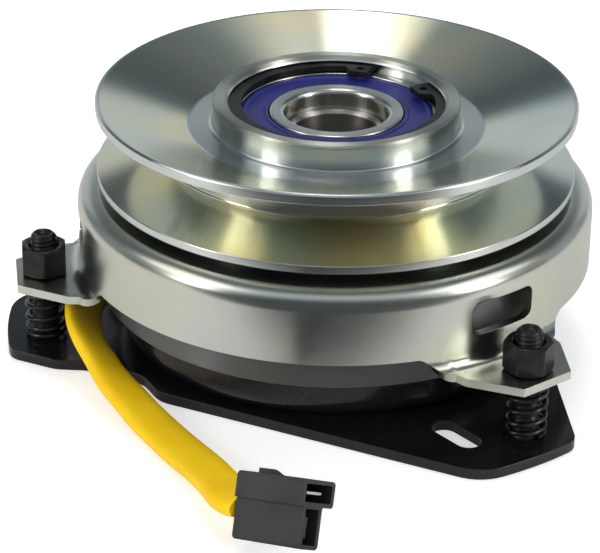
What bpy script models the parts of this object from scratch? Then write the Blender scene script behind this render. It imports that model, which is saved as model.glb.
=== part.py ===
"""Electric PTO clutch and brake for a lawn tractor.

The shaft axis is Z, up through the pulley. The origin is on that axis, at the underside of the
mounting plate. Heights are stacked from the plate upwards, each from the piece below it.
"""
import math

import bmesh
import bpy
from mathutils import Matrix, Vector

# Clearances, in metres like every length below
SEAT = 0.0003             # gap between faces that rest on each other
FIT = 0.0003              # radial gap where one piece sits in or on another
ARMATURE_TRAVEL = 0.0004  # how far the armature is pulled down when the coil is on

# Mounting plate: a triangle with its points cut off by one large circle
LOBES = 3
PLATE_THICKNESS = 0.0032
PLATE_MARGIN = 0.0117     # from the studs' circle to the end of each lobe
PLATE_STEP = 0.0033       # how far in each side starts, anticlockwise of its lobe
PLATE_STEP_ENDS = (-0.045, -0.025)  # along the side, from its middle
PLATE_CORNER = 0.0065
PLATE_BORE = 0.024
PLATE_LOBE_ANGLE = math.radians(-55.2)
SLOT_LENGTH = 0.017
SLOT_WIDTH = 0.0075
SLOT_INSET = 0.0093       # from the studs' circle to the slots' circle
SLOT_ANGLE = math.radians(-63.8)
SLOT_DIRECTION = math.radians(-50)
NOTCH = ((-0.0615, 0.0), (-0.0525, 0.0035), (-0.034, 0.0035))  # along the lead's side, and depth

# Studs, adjusting nuts and springs
STUD_OFFSET = 0.0105      # from the cup's wall to the studs' circle
STUD_ANGLE = math.radians(-52.2)
STUD_RADIUS = 0.00397
STUD_LENGTH = 0.0362
STUD_CHAMFER = 0.0011
NUT_FLATS = 0.0127
NUT_HEIGHT = 0.0087
NUT_CHAMFER = math.radians(30)
NUT_TURNS = (math.radians(-6.8), math.radians(12), math.radians(28.9))
NUT_FACE = 0.97           # width of each flat end, as a share of the width across flats
SPRING_RADIUS = 0.0062
SPRING_WIRE = 0.0014
SPRING_TURNS = 5.5
SPRING_CLOSING = 0.4      # how much flatter the end turns are than the mean pitch

# Field shell, coil and field bearing
SHELL_WALL = 0.005
SHELL_FLOOR = 0.0045
SHELL_HEIGHT = 0.0275
SHELL_CORNER = 0.007
POLE_WALL = 0.0045
COIL_SPACE = 0.0205       # from the inner pole to the shell wall
COIL_HEIGHT = 0.0194
COIL_MARGIN = 0.001       # bobbin flange to winding, and the bobbin's edge to the shell wall
BOBBIN_WALL = 0.0013
POTTING_DEPTH = 0.0025
FIELD_BEARING_BORE = 0.020
FIELD_BEARING_RADIUS = 0.034
FIELD_BEARING_WIDTH = 0.015
BEARING_BALLS = 9         # in each bearing
BEARING_LIP = 0.003       # how far a housing's lip reaches in under its bearing

# Rotor hub and disc
SHAFT_RADIUS = 0.0127
BORE_CHAMFER = 0.0009
KEY_WIDTH = 0.00635
KEY_DEPTH = 0.0032
KEY_ANGLE = math.radians(-80)
HUB_TAIL = 0.0068         # hub below the field bearing
HUB_SHOULDER_HEIGHT = 0.0084
HUB_DISC_STEP = 0.0023    # from the lower shoulder in to the radius that the rotor disc is pressed on
HUB_NECK_HEIGHT = 0.01565
HUB_NOSE_HEIGHT = 0.01065
ROTOR_THICKNESS = 0.007
ROTOR_SKIRT_DEPTH = 0.0148
ROTOR_SHELL_GAP = 0.0008
SKIRT_WALL = 0.0044

# Flux slots through the rotor disc and the armature
FLUX_SLOT_WIDTH = 0.0032
INNER_SLOT_OFFSET = 0.0067   # from the inner pole out to the inner row of slots
OUTER_SLOT_OFFSET = 0.0008   # from the shell wall in to the outer row
ROTOR_SLOTS = 4
ROTOR_BRIDGE = math.radians(18)
ARMATURE_BRIDGE = math.radians(26)

# Armature, leaf springs, rivets and brake pads
ARMATURE_OVERLAP = 0.0048 # how far the armature reaches in past the inner pole
ARMATURE_THICKNESS = 0.0048
LEAF_OFFSET = 0.0095      # from the armature's bore out to the middle of the leaves
LEAF_WIDTH = 0.0085
LEAF_THICKNESS = 0.0008
LEAF_SWEEP = math.radians(58)
RIVET_RADIUS = 0.0019
RIVET_HEAD_RADIUS = 0.0034
RIVET_HEAD_HEIGHT = 0.0014
RIVET_LENGTH = 0.0036
PAD_THICKNESS = 0.0019
PAD_INSET = 0.0005        # from the armature's edge in to the pads
PAD_WIDTH = 0.0075
PAD_SWEEP = math.radians(52)

# Brake plate: a drawn cup with three ears turned out at its rim
SHEET = 0.0025
CUP_CLEARANCE = 0.0038    # between the rotor and the cup's wall
CUP_HEIGHT = 0.0286       # top of the flange to the underside of the ears
CUP_LEDGE = 0.0015        # how far the flange reaches in past the pads
CUP_SHOULDER = 0.0055
CUP_WALL_END = 0.0068     # the plain rim, above the underside of the ears
EAR_LENGTH = 0.0187
EAR_TIP_HALF = 0.0086
EAR_ROOT_HALF = 0.0205
EAR_BEND = 0.0045
EAR_BLEND = math.radians(20.5)
WINDOW_WIDTH = 0.0215
WINDOW_HEIGHT = 0.0099
WINDOW_CENTRE = 0.0160    # above the underside of the ears
WINDOW_CORNER = 0.0028

# Pulley and its bearing
PULLEY_RADIUS = 0.070
GROOVE_OPENING = 0.0181
GROOVE_DEPTH = 0.018
GROOVE_ANGLE = math.radians(18)
GROOVE_RISE = 0.0009      # middle of the groove above the middle of the bearing
UPPER_RIM = 0.003
LOWER_RIM = 0.0026
RIM_CHAMFER = 0.001
FACE_LEVEL = 0.007        # the level part of the face, round the collar
COLLAR_WALL = 0.005
COLLAR_STEP = 0.008
MOUTH_FLARE = 0.0015
COLLAR_RISE = 0.00415     # collar above the bearing
EDGE_BREAK = 0.0008
BOSS_MARGIN = 0.0035      # between the boss and the edge of the brake plate's opening
BOSS_CLEARANCE = 0.0023   # pulley underside above the leaf springs
PULLEY_BEARING_BORE = 0.015
PULLEY_BEARING_RADIUS = 0.031
PULLEY_BEARING_WIDTH = 0.016
SNAP_RING_THICKNESS = 0.0018
SNAP_RING_DEPTH = 0.0017  # how far the groove goes into the collar
SNAP_RING_BODY = 0.0055
SNAP_RING_END = 0.0038
SNAP_RING_LUG = 0.0075
SNAP_RING_LUG_SWEEP = math.radians(13)
SNAP_RING_EYE = 0.0012    # radius of the hole in each lug
SNAP_RING_GAP = math.radians(37)
SNAP_RING_TURN = math.radians(50)

# Lead and its plug
LEAD_RADIUS = 0.003
GROMMET_RADIUS = 0.0044
GROMMET_DEPTH = 0.0075
LEAD_ROUTE = [            # hand-placed: millimetres past the shell wall, degrees, millimetres up
    (3.7, 167.4, 10.5),
    (5.4, 171.4, 10.6),
    (6.9, 175.5, 10.8),
    (8.5, 179.8, 11.2),
    (9.7, 184.3, 11.5),
    (10.8, 188.7, 11.5),
    (11.8, 194.0, 11.1),
    (12.5, 199.1, 10.5),
    (12.8, 203.9, 9.6),
    (12.9, 208.8, 8.5),
    (13.5, 213.5, 7.3),
    (14.2, 217.9, 6.1),
    (14.9, 222.4, 5.0),
    (16.4, 227.2, 4.0),
    (18.6, 232.1, 3.3),
    (21.6, 237.2, 3.0),
    (26.5, 242.9, 3.3),
    (32.5, 248.0, 4.3),
    (39.3, 251.8, 5.7),
    (45.2, 254.2, 7.1),
    (49.8, 255.8, 8.1),
    (52.8, 257.2, 9.0),
    (54.3, 258.4, 9.8),
]
PLUG_CORNER = (53.8, 257.5, 18.87)
PLUG_TURN = (math.radians(-27.5), math.radians(-16.0), math.radians(-40.6))
PLUG_LENGTH = 0.02375
PLUG_BAR_WIDTH = 0.0119
PLUG_BAR_HEIGHT = 0.0069
PLUG_HEIGHT = 0.0178
PLUG_STEM_START = 0.0008
PLUG_STEM_END = 0.0079
PLUG_WALL = 0.0011
PLUG_POCKET = 0.015
PLUG_CORNER_RADIUS = 0.0007
CONTACT_WIDTH = 0.0056
CONTACT_THICKNESS = 0.0008
CONTACT_LENGTH = 0.013
LATCH_HEIGHT = 0.0013

# Radii, stacked from the field bearing outwards, each from the piece inside it
POLE_RADIUS = FIELD_BEARING_RADIUS + FIT + POLE_WALL
SHELL_INSIDE = POLE_RADIUS + COIL_SPACE
SHELL_RADIUS = SHELL_INSIDE + SHELL_WALL
ROTOR_RADIUS = SHELL_RADIUS + ROTOR_SHELL_GAP + SKIRT_WALL
PAD_OUTER = ROTOR_RADIUS - PAD_INSET
PAD_INNER = PAD_OUTER - PAD_WIDTH
CUP_OPENING = PAD_INNER - CUP_LEDGE
CUP_RADIUS = ROTOR_RADIUS + CUP_CLEARANCE + SHEET
EAR_END = CUP_RADIUS + EAR_LENGTH
STUD_CIRCLE = CUP_RADIUS + STUD_OFFSET
SLOT_CIRCLE = STUD_CIRCLE - SLOT_INSET
PLATE_REACH = STUD_CIRCLE + PLATE_MARGIN
PLATE_SIDE = SHELL_RADIUS
PLATE_NEAR_SIDE = PLATE_SIDE - PLATE_STEP
INNER_SLOT_CIRCLE = POLE_RADIUS + INNER_SLOT_OFFSET
OUTER_SLOT_CIRCLE = SHELL_INSIDE - OUTER_SLOT_OFFSET
ARMATURE_SLOT_CIRCLE = (INNER_SLOT_CIRCLE + OUTER_SLOT_CIRCLE) / 2
ARMATURE_BORE = POLE_RADIUS - ARMATURE_OVERLAP
LEAF_CIRCLE = ARMATURE_BORE + LEAF_OFFSET
COLLAR_MOUTH = PULLEY_BEARING_RADIUS + MOUTH_FLARE
COLLAR_RADIUS = PULLEY_BEARING_RADIUS + COLLAR_WALL
FACE_INNER = COLLAR_RADIUS + FACE_LEVEL
GROOVE_BOTTOM = PULLEY_RADIUS - GROOVE_DEPTH
BOSS_RADIUS = CUP_OPENING - BOSS_MARGIN

# In each bearing the balls' radius, and the hub's shoulder under the inner ring, follow its section
FIELD_SECTION = FIELD_BEARING_RADIUS - FIELD_BEARING_BORE
PULLEY_SECTION = PULLEY_BEARING_RADIUS - PULLEY_BEARING_BORE
FIELD_BALL = FIELD_SECTION * 2 / 7
PULLEY_BALL = PULLEY_SECTION * 9 / 32
HUB_SHOULDER = FIELD_BEARING_BORE + FIELD_SECTION * 2 / 7
HUB_SEAT = HUB_SHOULDER - HUB_DISC_STEP
HUB_NECK = PULLEY_BEARING_BORE + PULLEY_SECTION / 4

# Heights, stacked from the underside of the mounting plate
Z_SHELL = PLATE_THICKNESS + SEAT
Z_CHANNEL = Z_SHELL + SHELL_FLOOR
Z_FIELD_BEARING = Z_CHANNEL + SEAT
Z_HUB_BOTTOM = Z_FIELD_BEARING - HUB_TAIL
Z_HUB_SHOULDER = Z_FIELD_BEARING + FIELD_BEARING_WIDTH + SEAT
Z_DISC_SEAT = Z_HUB_SHOULDER + HUB_SHOULDER_HEIGHT
Z_ROTOR = Z_DISC_SEAT + SEAT
Z_ROTOR_TOP = Z_ROTOR + ROTOR_THICKNESS
Z_ARMATURE = Z_ROTOR_TOP + ARMATURE_TRAVEL + SEAT
Z_ARMATURE_TOP = Z_ARMATURE + ARMATURE_THICKNESS
Z_PAD = Z_ARMATURE_TOP + SEAT
Z_FLANGE = Z_PAD + PAD_THICKNESS + SEAT
Z_CUP_TOP = Z_FLANGE + SHEET
Z_EAR = Z_CUP_TOP - CUP_HEIGHT
Z_NUT = Z_EAR + SHEET + SEAT
Z_LEAF = Z_ARMATURE_TOP + SEAT
Z_LEAF_TOP = Z_LEAF + LEAF_THICKNESS
Z_RIVET_PAD = Z_LEAF_TOP + SEAT
Z_BOSS = Z_LEAF_TOP + BOSS_CLEARANCE
Z_BEARING_STEP = Z_ROTOR_TOP + HUB_NECK_HEIGHT
Z_PULLEY_BEARING = Z_BEARING_STEP + SEAT
Z_PULLEY_BEARING_TOP = Z_PULLEY_BEARING + PULLEY_BEARING_WIDTH
Z_HUB_TOP = Z_BEARING_STEP + HUB_NOSE_HEIGHT
Z_COLLAR_TOP = Z_PULLEY_BEARING_TOP + COLLAR_RISE
Z_FACE = Z_COLLAR_TOP - COLLAR_STEP
Z_GROOVE = Z_PULLEY_BEARING + PULLEY_BEARING_WIDTH / 2 + GROOVE_RISE
Z_SNAP_RING = Z_PULLEY_BEARING_TOP + SEAT

# Facets round a full turn
FINE = 44
MEDIUM = 32
COARSE = 24
SMALL = 12
SPRING_STEPS = 8          # per turn of the wire


# Materials

def material(name, colour, roughness, metallic):
    """A plain Principled material."""
    made = bpy.data.materials.new(name)
    made.use_nodes = True
    shader = made.node_tree.nodes["Principled BSDF"]
    shader.inputs["Base Color"].default_value = (*colour, 1.0)
    shader.inputs["Roughness"].default_value = roughness
    shader.inputs["Metallic"].default_value = metallic
    made.diffuse_color = (*colour, 1.0)
    return made


# Outlines and meshes

def polar(radius, angle):
    """The point at this radius and angle in the plane."""
    return (radius * math.cos(angle), radius * math.sin(angle))


def arc(centre, radius, start, end, steps):
    """Points along an arc, both ends included."""
    points = []
    for i in range(steps + 1):
        x, y = polar(radius, start + (end - start) * i / steps)
        points.append((centre[0] + x, centre[1] + y))
    return points


def circle(centre, radius, segments):
    return arc(centre, radius, 0, math.tau, segments)[:-1]


def rounded_box(width, height, corner, steps):
    """A rectangle about the origin with round corners."""
    points = []
    for i, (sx, sy) in enumerate([(1, 1), (-1, 1), (-1, -1), (1, -1)]):
        centre = (sx * (width / 2 - corner), sy * (height / 2 - corner))
        points += arc(centre, corner, i * math.pi / 2, (i + 1) * math.pi / 2, steps)
    return points


def straight_slot(centre, direction, length, width):
    """A slot with round ends, along the given direction."""
    half = (length - width) / 2
    along = Vector(polar(half, direction))
    middle = Vector(centre)
    quarter = math.pi / 2
    return (arc(middle + along, width / 2, direction - quarter, direction + quarter, 4)
            + arc(middle - along, width / 2, direction + quarter, direction + 3 * quarter, 4))


def arc_slot(radius, width, middle, sweep, steps, end_steps):
    """A slot with round ends, bent round the origin."""
    start = middle - sweep / 2
    end = middle + sweep / 2
    outer = arc((0, 0), radius + width / 2, start, end, steps)
    inner = arc((0, 0), radius - width / 2, end, start, steps)
    far_cap = arc(polar(radius, end), width / 2, end, end + math.pi, end_steps)
    near_cap = arc(polar(radius, start), width / 2, start + math.pi, start + math.tau, end_steps)
    return outer + far_cap[1:-1] + inner + near_cap[1:-1]


def ring_sector(inner, outer, middle, sweep, steps):
    """A block of a ring with square ends."""
    start = middle - sweep / 2
    end = middle + sweep / 2
    return arc((0, 0), outer, start, end, steps) + arc((0, 0), inner, end, start, steps)


def rotated(outline, angle):
    """The outline turned about the origin."""
    c = math.cos(angle)
    s = math.sin(angle)
    return [(x * c - y * s, x * s + y * c) for x, y in outline]


def add_prism(bm, outline, bottom, top, place=None):
    """Adds the outline, drawn in XY and extruded from bottom to top, to a mesh being built."""
    matrix = place or Matrix.Identity(4)
    low = [bm.verts.new(matrix @ Vector((x, y, bottom))) for x, y in outline]
    high = [bm.verts.new(matrix @ Vector((x, y, top))) for x, y in outline]
    count = len(outline)
    bm.faces.new(low)
    bm.faces.new(high)
    for i in range(count):
        j = (i + 1) % count
        bm.faces.new((low[i], low[j], high[j], high[i]))


def add_turned(bm, profile, segments, centre=(0.0, 0.0)):
    """Adds a closed outline of (radius, height) points, turned about a vertical line."""
    rings = []
    for i in range(segments):
        c, s = polar(1.0, math.tau * i / segments)
        rings.append([bm.verts.new((centre[0] + r * c, centre[1] + r * s, z)) for r, z in profile])
    for i in range(segments):
        here = rings[i]
        there = rings[(i + 1) % segments]
        for j in range(len(profile)):
            k = (j + 1) % len(profile)
            bm.faces.new((here[j], there[j], there[k], here[k]))
    bmesh.ops.remove_doubles(bm, verts=bm.verts, dist=1e-7)


def as_mesh(name, bm, surface):
    """The built mesh, faces out, round faces shaded smooth."""
    bmesh.ops.recalc_face_normals(bm, faces=bm.faces)
    mesh = bpy.data.meshes.new(name)
    bm.to_mesh(mesh)
    bm.free()
    mesh.shade_smooth()
    mesh.set_sharp_from_angle(angle=math.radians(35))
    if surface:
        mesh.materials.append(surface)
    return mesh


def link(name, data, parent):
    """An object that shows this mesh or curve."""
    obj = bpy.data.objects.new(name, data)
    bpy.context.scene.collection.objects.link(obj)
    obj.parent = parent
    return obj


def finish(name, bm, surface, parent=None):
    return link(name, as_mesh(name, bm, surface), parent)


def turned(name, profile, segments, surface, parent):
    bm = bmesh.new()
    add_turned(bm, profile, segments)
    return finish(name, bm, surface, parent)


def prism(name, outline, bottom, top, surface, parent):
    bm = bmesh.new()
    add_prism(bm, outline, bottom, top)
    return finish(name, bm, surface, parent)


def cutter(name, bm):
    """A helper solid for a Boolean, left out of the model."""
    obj = finish(name, bm, None)
    obj.hide_render = True
    obj.display_type = "WIRE"
    return obj


def boolean(obj, helper, operation):
    modifier = obj.modifiers.new(helper.name, "BOOLEAN")
    modifier.operation = operation
    modifier.solver = "EXACT"
    modifier.object = helper


def empty(name, location=(0, 0, 0)):
    obj = bpy.data.objects.new(name, None)
    bpy.context.scene.collection.objects.link(obj)
    obj.location = location
    return obj


def lobe_angles():
    """Where the studs, ears and windows stand, and the middle of each leaf spring."""
    return [STUD_ANGLE + math.tau * i / LOBES for i in range(LOBES)]


# Field side: plate, studs, shell and coil

def plate_outline():
    """The lobed plate. Each side starts further in, then steps out; the lead's side has a notch."""
    points = []
    half_share = math.pi / LOBES
    corner_angle = PLATE_CORNER / PLATE_REACH
    for i in range(LOBES):
        lobe = PLATE_LOBE_ANGLE + math.tau * i / LOBES
        side = lobe + half_share
        # The lobe's end lies on the large circle between the two straight sides
        start = lobe - half_share + math.acos(PLATE_SIDE / PLATE_REACH)
        end = side - math.acos(PLATE_NEAR_SIDE / PLATE_REACH)
        points += plate_corner(start, lobe - half_share, corner_angle, False)
        points += arc((0, 0), PLATE_REACH, start + corner_angle, end - corner_angle, 6)
        points += plate_corner(end, side, corner_angle, True)
        points += plate_step(side, NOTCH if i == LOBES - 1 else [(PLATE_STEP_ENDS[0], 0.0)])
    return points


def plate_corner(angle, side, corner_angle, leaving):
    """Two points that round a corner between the lobe's end and a straight side."""
    tip = Vector(polar(PLATE_REACH, angle))
    along = Vector(polar(PLATE_CORNER, side + math.pi / 2))
    if not leaving:
        along = -along
    straight = tip + along
    end = Vector(polar(PLATE_REACH, angle - corner_angle if leaving else angle + corner_angle))
    middle = (tip * 2 + straight + end) / 4
    if leaving:
        return [tuple(middle), tuple(straight)]
    return [tuple(straight), tuple(middle)]


def plate_step(side, marks):
    """Points along the near part of a side, each so deep, then the step out to its far part."""
    outward = Vector(polar(1, side))
    along = Vector(polar(1, side + math.pi / 2))
    points = [outward * (PLATE_NEAR_SIDE - depth) + along * distance for distance, depth in marks]
    points.append(outward * PLATE_SIDE + along * PLATE_STEP_ENDS[1])
    return [tuple(point) for point in points]


def mounting_plate(surface, parent):
    plate = prism("mounting_plate", plate_outline(), 0, PLATE_THICKNESS, surface, parent)
    bm = bmesh.new()
    over = PLATE_THICKNESS
    add_prism(bm, circle((0, 0), PLATE_BORE, COARSE), -over, 2 * over)
    for i, angle in enumerate(lobe_angles()):
        add_prism(bm, circle(polar(STUD_CIRCLE, angle), STUD_RADIUS + FIT, SMALL), -over, 2 * over)
        turn = math.tau * i / LOBES
        centre = polar(SLOT_CIRCLE, SLOT_ANGLE + turn)
        add_prism(bm, straight_slot(centre, SLOT_DIRECTION + turn, SLOT_LENGTH, SLOT_WIDTH), -over, 2 * over)
    boolean(plate, cutter("cut_plate_holes", bm), "DIFFERENCE")
    return plate


def stud_mesh(surface):
    bm = bmesh.new()
    profile = [(0, 0), (STUD_RADIUS, 0), (STUD_RADIUS, STUD_LENGTH - STUD_CHAMFER),
               (STUD_RADIUS - STUD_CHAMFER, STUD_LENGTH), (0, STUD_LENGTH)]
    add_turned(bm, profile, SMALL)
    return as_mesh("stud", bm, surface)


def nut_mesh(surface):
    """A hexagon whose corners are cut by a cone at both ends, with a plain bore."""
    bm = bmesh.new()
    corner = NUT_FLATS / 2 / math.cos(math.pi / 6)
    drop = (corner - NUT_FLATS / 2) * math.tan(NUT_CHAMFER)
    bore = STUD_RADIUS + FIT
    steps = 2
    rings = {"low_in": [], "low_out": [], "side_low": [], "side_high": [], "high_out": [], "high_in": []}
    for i in range(6 * steps):
        angle = math.tau * i / (6 * steps)
        # The flat's distance along this ray, and how far the cone has fallen there
        within = (angle + math.pi / 6) % (math.pi / 3) - math.pi / 6
        reach = NUT_FLATS / 2 / math.cos(math.pi / 6 - abs(within))
        fall = (reach - NUT_FLATS / 2) * math.tan(NUT_CHAMFER)
        rings["low_in"].append(bm.verts.new((*polar(bore, angle), 0)))
        rings["low_out"].append(bm.verts.new((*polar(NUT_FLATS / 2 * NUT_FACE, angle), 0)))
        rings["side_low"].append(bm.verts.new((*polar(reach, angle), fall + drop * 0.2)))
        rings["side_high"].append(bm.verts.new((*polar(reach, angle), NUT_HEIGHT - fall - drop * 0.2)))
        rings["high_out"].append(bm.verts.new((*polar(NUT_FLATS / 2 * NUT_FACE, angle), NUT_HEIGHT)))
        rings["high_in"].append(bm.verts.new((*polar(bore, angle), NUT_HEIGHT)))
    loops = list(rings.values())
    count = 6 * steps
    for k, loop in enumerate(loops):
        following = loops[(k + 1) % len(loops)]
        for i in range(count):
            j = (i + 1) % count
            bm.faces.new((loop[i], loop[j], following[j], following[i]))
    return as_mesh("nut", bm, surface)


def tube_curve(name, points, radius, resolution, surface):
    """A round bar with filled ends through the given points."""
    curve = bpy.data.curves.new(name, "CURVE")
    curve.dimensions = "3D"
    curve.bevel_depth = radius
    curve.bevel_resolution = resolution
    curve.use_fill_caps = True
    spline = curve.splines.new("POLY")
    spline.points.add(len(points) - 1)
    for point, co in zip(spline.points, points):
        point.co = (*co, 1)
    curve.materials.append(surface)
    return curve


def spring_curve(surface):
    """A compression spring that fills the space between the plate and an ear."""
    height = Z_EAR - PLATE_THICKNESS - 2 * SEAT
    span = height - SPRING_WIRE
    mean = SPRING_RADIUS - SPRING_WIRE / 2
    steps = int(SPRING_TURNS * SPRING_STEPS)
    points = []
    for i in range(steps + 1):
        u = i / steps
        rise = u - SPRING_CLOSING * math.sin(math.tau * u) / math.tau
        x, y = polar(mean, math.tau * SPRING_TURNS * u)
        points.append((x, y, SPRING_WIRE / 2 + span * rise))
    return tube_curve("spring", points, SPRING_WIRE / 2, 1, surface)


def studs_nuts_springs(black, dark_steel, parent):
    stud = stud_mesh(black)
    nut = nut_mesh(black)
    spring = spring_curve(dark_steel)
    for i, angle in enumerate(lobe_angles()):
        x, y = polar(STUD_CIRCLE, angle)
        number = i + 1
        link(f"stud_{number}", stud, parent).location = (x, y, 0)
        placed_nut = link(f"adjusting_nut_{number}", nut, parent)
        placed_nut.location = (x, y, Z_NUT)
        placed_nut.rotation_euler = (0, 0, angle + NUT_TURNS[i])
        placed_spring = link(f"spring_{number}", spring, parent)
        placed_spring.location = (x, y, PLATE_THICKNESS + SEAT)
        placed_spring.rotation_euler = (0, 0, angle)


def field_shell(surface, parent):
    """Drawn ring channel: outer pole, floor, and an inner pole that holds the field bearing."""
    bore = FIELD_BEARING_RADIUS + FIT
    top = Z_SHELL + SHELL_HEIGHT
    lip = FIELD_BEARING_RADIUS - BEARING_LIP
    corner = (SHELL_RADIUS - SHELL_CORNER, Z_SHELL + SHELL_CORNER)
    profile = [(lip, Z_SHELL)]
    profile += arc(corner, SHELL_CORNER, -math.pi / 2, 0, 4)
    profile += [(SHELL_RADIUS, top), (SHELL_INSIDE, top), (SHELL_INSIDE, Z_CHANNEL),
                (POLE_RADIUS, Z_CHANNEL), (POLE_RADIUS, top), (bore, top), (bore, Z_CHANNEL), (lip, Z_CHANNEL)]
    shell = turned("field_shell", profile, MEDIUM, surface, parent)
    bm = bmesh.new()
    start, end = grommet_ends()
    add_bar(bm, start, end, GROMMET_RADIUS + FIT, SMALL)
    boolean(shell, cutter("cut_grommet_pocket", bm), "DIFFERENCE")
    return shell


def coil(nylon, copper, resin, parent):
    """Bobbin, winding and the resin that seals the channel."""
    inner = POLE_RADIUS + FIT
    outer = SHELL_INSIDE - COIL_MARGIN
    bottom = Z_CHANNEL + SEAT
    top = bottom + COIL_HEIGHT
    wall = BOBBIN_WALL
    bobbin = [(inner, bottom), (outer, bottom), (outer, bottom + wall), (inner + wall, bottom + wall),
              (inner + wall, top - wall), (outer, top - wall), (outer, top), (inner, top)]
    turned("coil_bobbin", bobbin, MEDIUM, nylon, parent)
    wind_in = inner + wall + FIT
    wind_out = outer - COIL_MARGIN
    low = bottom + wall + SEAT
    high = top - wall - SEAT
    winding = [(wind_in, low), (wind_out, low), (wind_out, high), (wind_in, high)]
    turned("coil_winding", winding, MEDIUM, copper, parent)
    resin_out = SHELL_INSIDE - FIT
    resin_low = top + SEAT
    potting = [(inner, resin_low), (resin_out, resin_low), (resin_out, resin_low + POTTING_DEPTH),
               (inner, resin_low + POTTING_DEPTH)]
    turned("coil_potting", potting, MEDIUM, resin, parent)


# Bearings

def bearing(prefix, bore, radius, width, bottom, ball, segments, parts):
    """A sealed deep-groove ball bearing; parts holds its surfaces and the parents of its pieces."""
    middle = bottom + width / 2
    pitch = (bore + radius) / 2
    groove = ball + FIT
    shoulder = ball * 0.8
    inner_land = pitch - ball * 0.76
    outer_land = pitch + ball * 0.76
    seal_step = (radius - outer_land) * 0.35
    seal_seat = outer_land + seal_step
    seal_depth = width * 0.14
    top = bottom + width
    race_z = [-shoulder, 0, shoulder]
    race_r = [math.sqrt(groove ** 2 - z ** 2) for z in race_z]

    outer_race = [(pitch + r, middle + z) for r, z in zip(race_r, race_z)]
    outer = [(radius, bottom), (radius, top), (seal_seat, top), (seal_seat, top - seal_depth),
             (outer_land, top - seal_depth)]
    outer += outer_race[::-1]
    outer += [(outer_land, bottom + seal_depth), (seal_seat, bottom + seal_depth), (seal_seat, bottom)]
    turned(f"{prefix}_outer_ring", outer, segments, parts["steel"], parts["outer"])

    inner_race = [(pitch - r, middle + z) for r, z in zip(race_r, race_z)]
    inner = [(bore, bottom), (inner_land, bottom)] + inner_race + [(inner_land, top), (bore, top)]
    turned(f"{prefix}_inner_ring", inner, segments, parts["steel"], parts["inner"])

    for word, face, into in (("upper", top, -1), ("lower", bottom, 1)):
        outside = face + into * seal_depth * 0.2
        inside = face + into * (seal_depth - SEAT)
        seal = [(inner_land + FIT, outside), (seal_seat - FIT, outside), (seal_seat - FIT, inside),
                (inner_land + FIT, inside)]
        turned(f"{prefix}_{word}_seal", seal, segments, parts["seal"], parts["outer"])

    cage_half = ball * 0.3
    cage_wall = ball * 0.15
    cage = [(pitch - cage_wall, middle - cage_half), (pitch + cage_wall, middle - cage_half),
            (pitch + cage_wall, middle + cage_half), (pitch - cage_wall, middle + cage_half)]
    cage_ring = turned(f"{prefix}_balls_and_cage", cage, BEARING_BALLS * 2, parts["steel"], parts["cage"])
    bm = bmesh.new()
    for i in range(BEARING_BALLS):
        spot = Matrix.Translation((*polar(pitch, math.tau * (i + 0.5) / BEARING_BALLS), middle))
        bmesh.ops.create_uvsphere(bm, u_segments=8, v_segments=4, radius=ball, matrix=spot)
    boolean(cage_ring, cutter(f"add_{prefix}_balls", bm), "UNION")


# Rotor

def rotor_hub(surface, parent):
    """The hub on the crankshaft: it carries the field bearing, the disc and the pulley bearing."""
    tail = FIELD_BEARING_BORE - FIT
    nose = PULLEY_BEARING_BORE - FIT
    mouth = SHAFT_RADIUS + BORE_CHAMFER
    nose_break = EDGE_BREAK / 2
    profile = [
        (mouth, Z_HUB_BOTTOM), (tail - EDGE_BREAK, Z_HUB_BOTTOM), (tail, Z_HUB_BOTTOM + EDGE_BREAK),
        (tail, Z_HUB_SHOULDER), (HUB_SHOULDER, Z_HUB_SHOULDER), (HUB_SHOULDER, Z_DISC_SEAT),
        (HUB_SEAT, Z_DISC_SEAT), (HUB_SEAT, Z_ROTOR_TOP), (HUB_NECK, Z_ROTOR_TOP),
        (HUB_NECK, Z_BEARING_STEP), (nose, Z_BEARING_STEP), (nose, Z_HUB_TOP - nose_break),
        (nose - nose_break, Z_HUB_TOP), (mouth, Z_HUB_TOP), (SHAFT_RADIUS, Z_HUB_TOP - BORE_CHAMFER),
        (SHAFT_RADIUS, Z_HUB_BOTTOM + BORE_CHAMFER),
    ]
    hub = turned("rotor_hub", profile, MEDIUM, surface, parent)
    bm = bmesh.new()
    keyway = [(0, -KEY_WIDTH / 2), (SHAFT_RADIUS + KEY_DEPTH / 2, -KEY_WIDTH / 2),
              (SHAFT_RADIUS + KEY_DEPTH / 2, KEY_WIDTH / 2), (0, KEY_WIDTH / 2)]
    add_prism(bm, rotated(keyway, KEY_ANGLE), Z_HUB_BOTTOM - KEY_DEPTH, Z_HUB_TOP + KEY_DEPTH)
    boolean(hub, cutter("cut_keyway", bm), "DIFFERENCE")
    return hub


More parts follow.
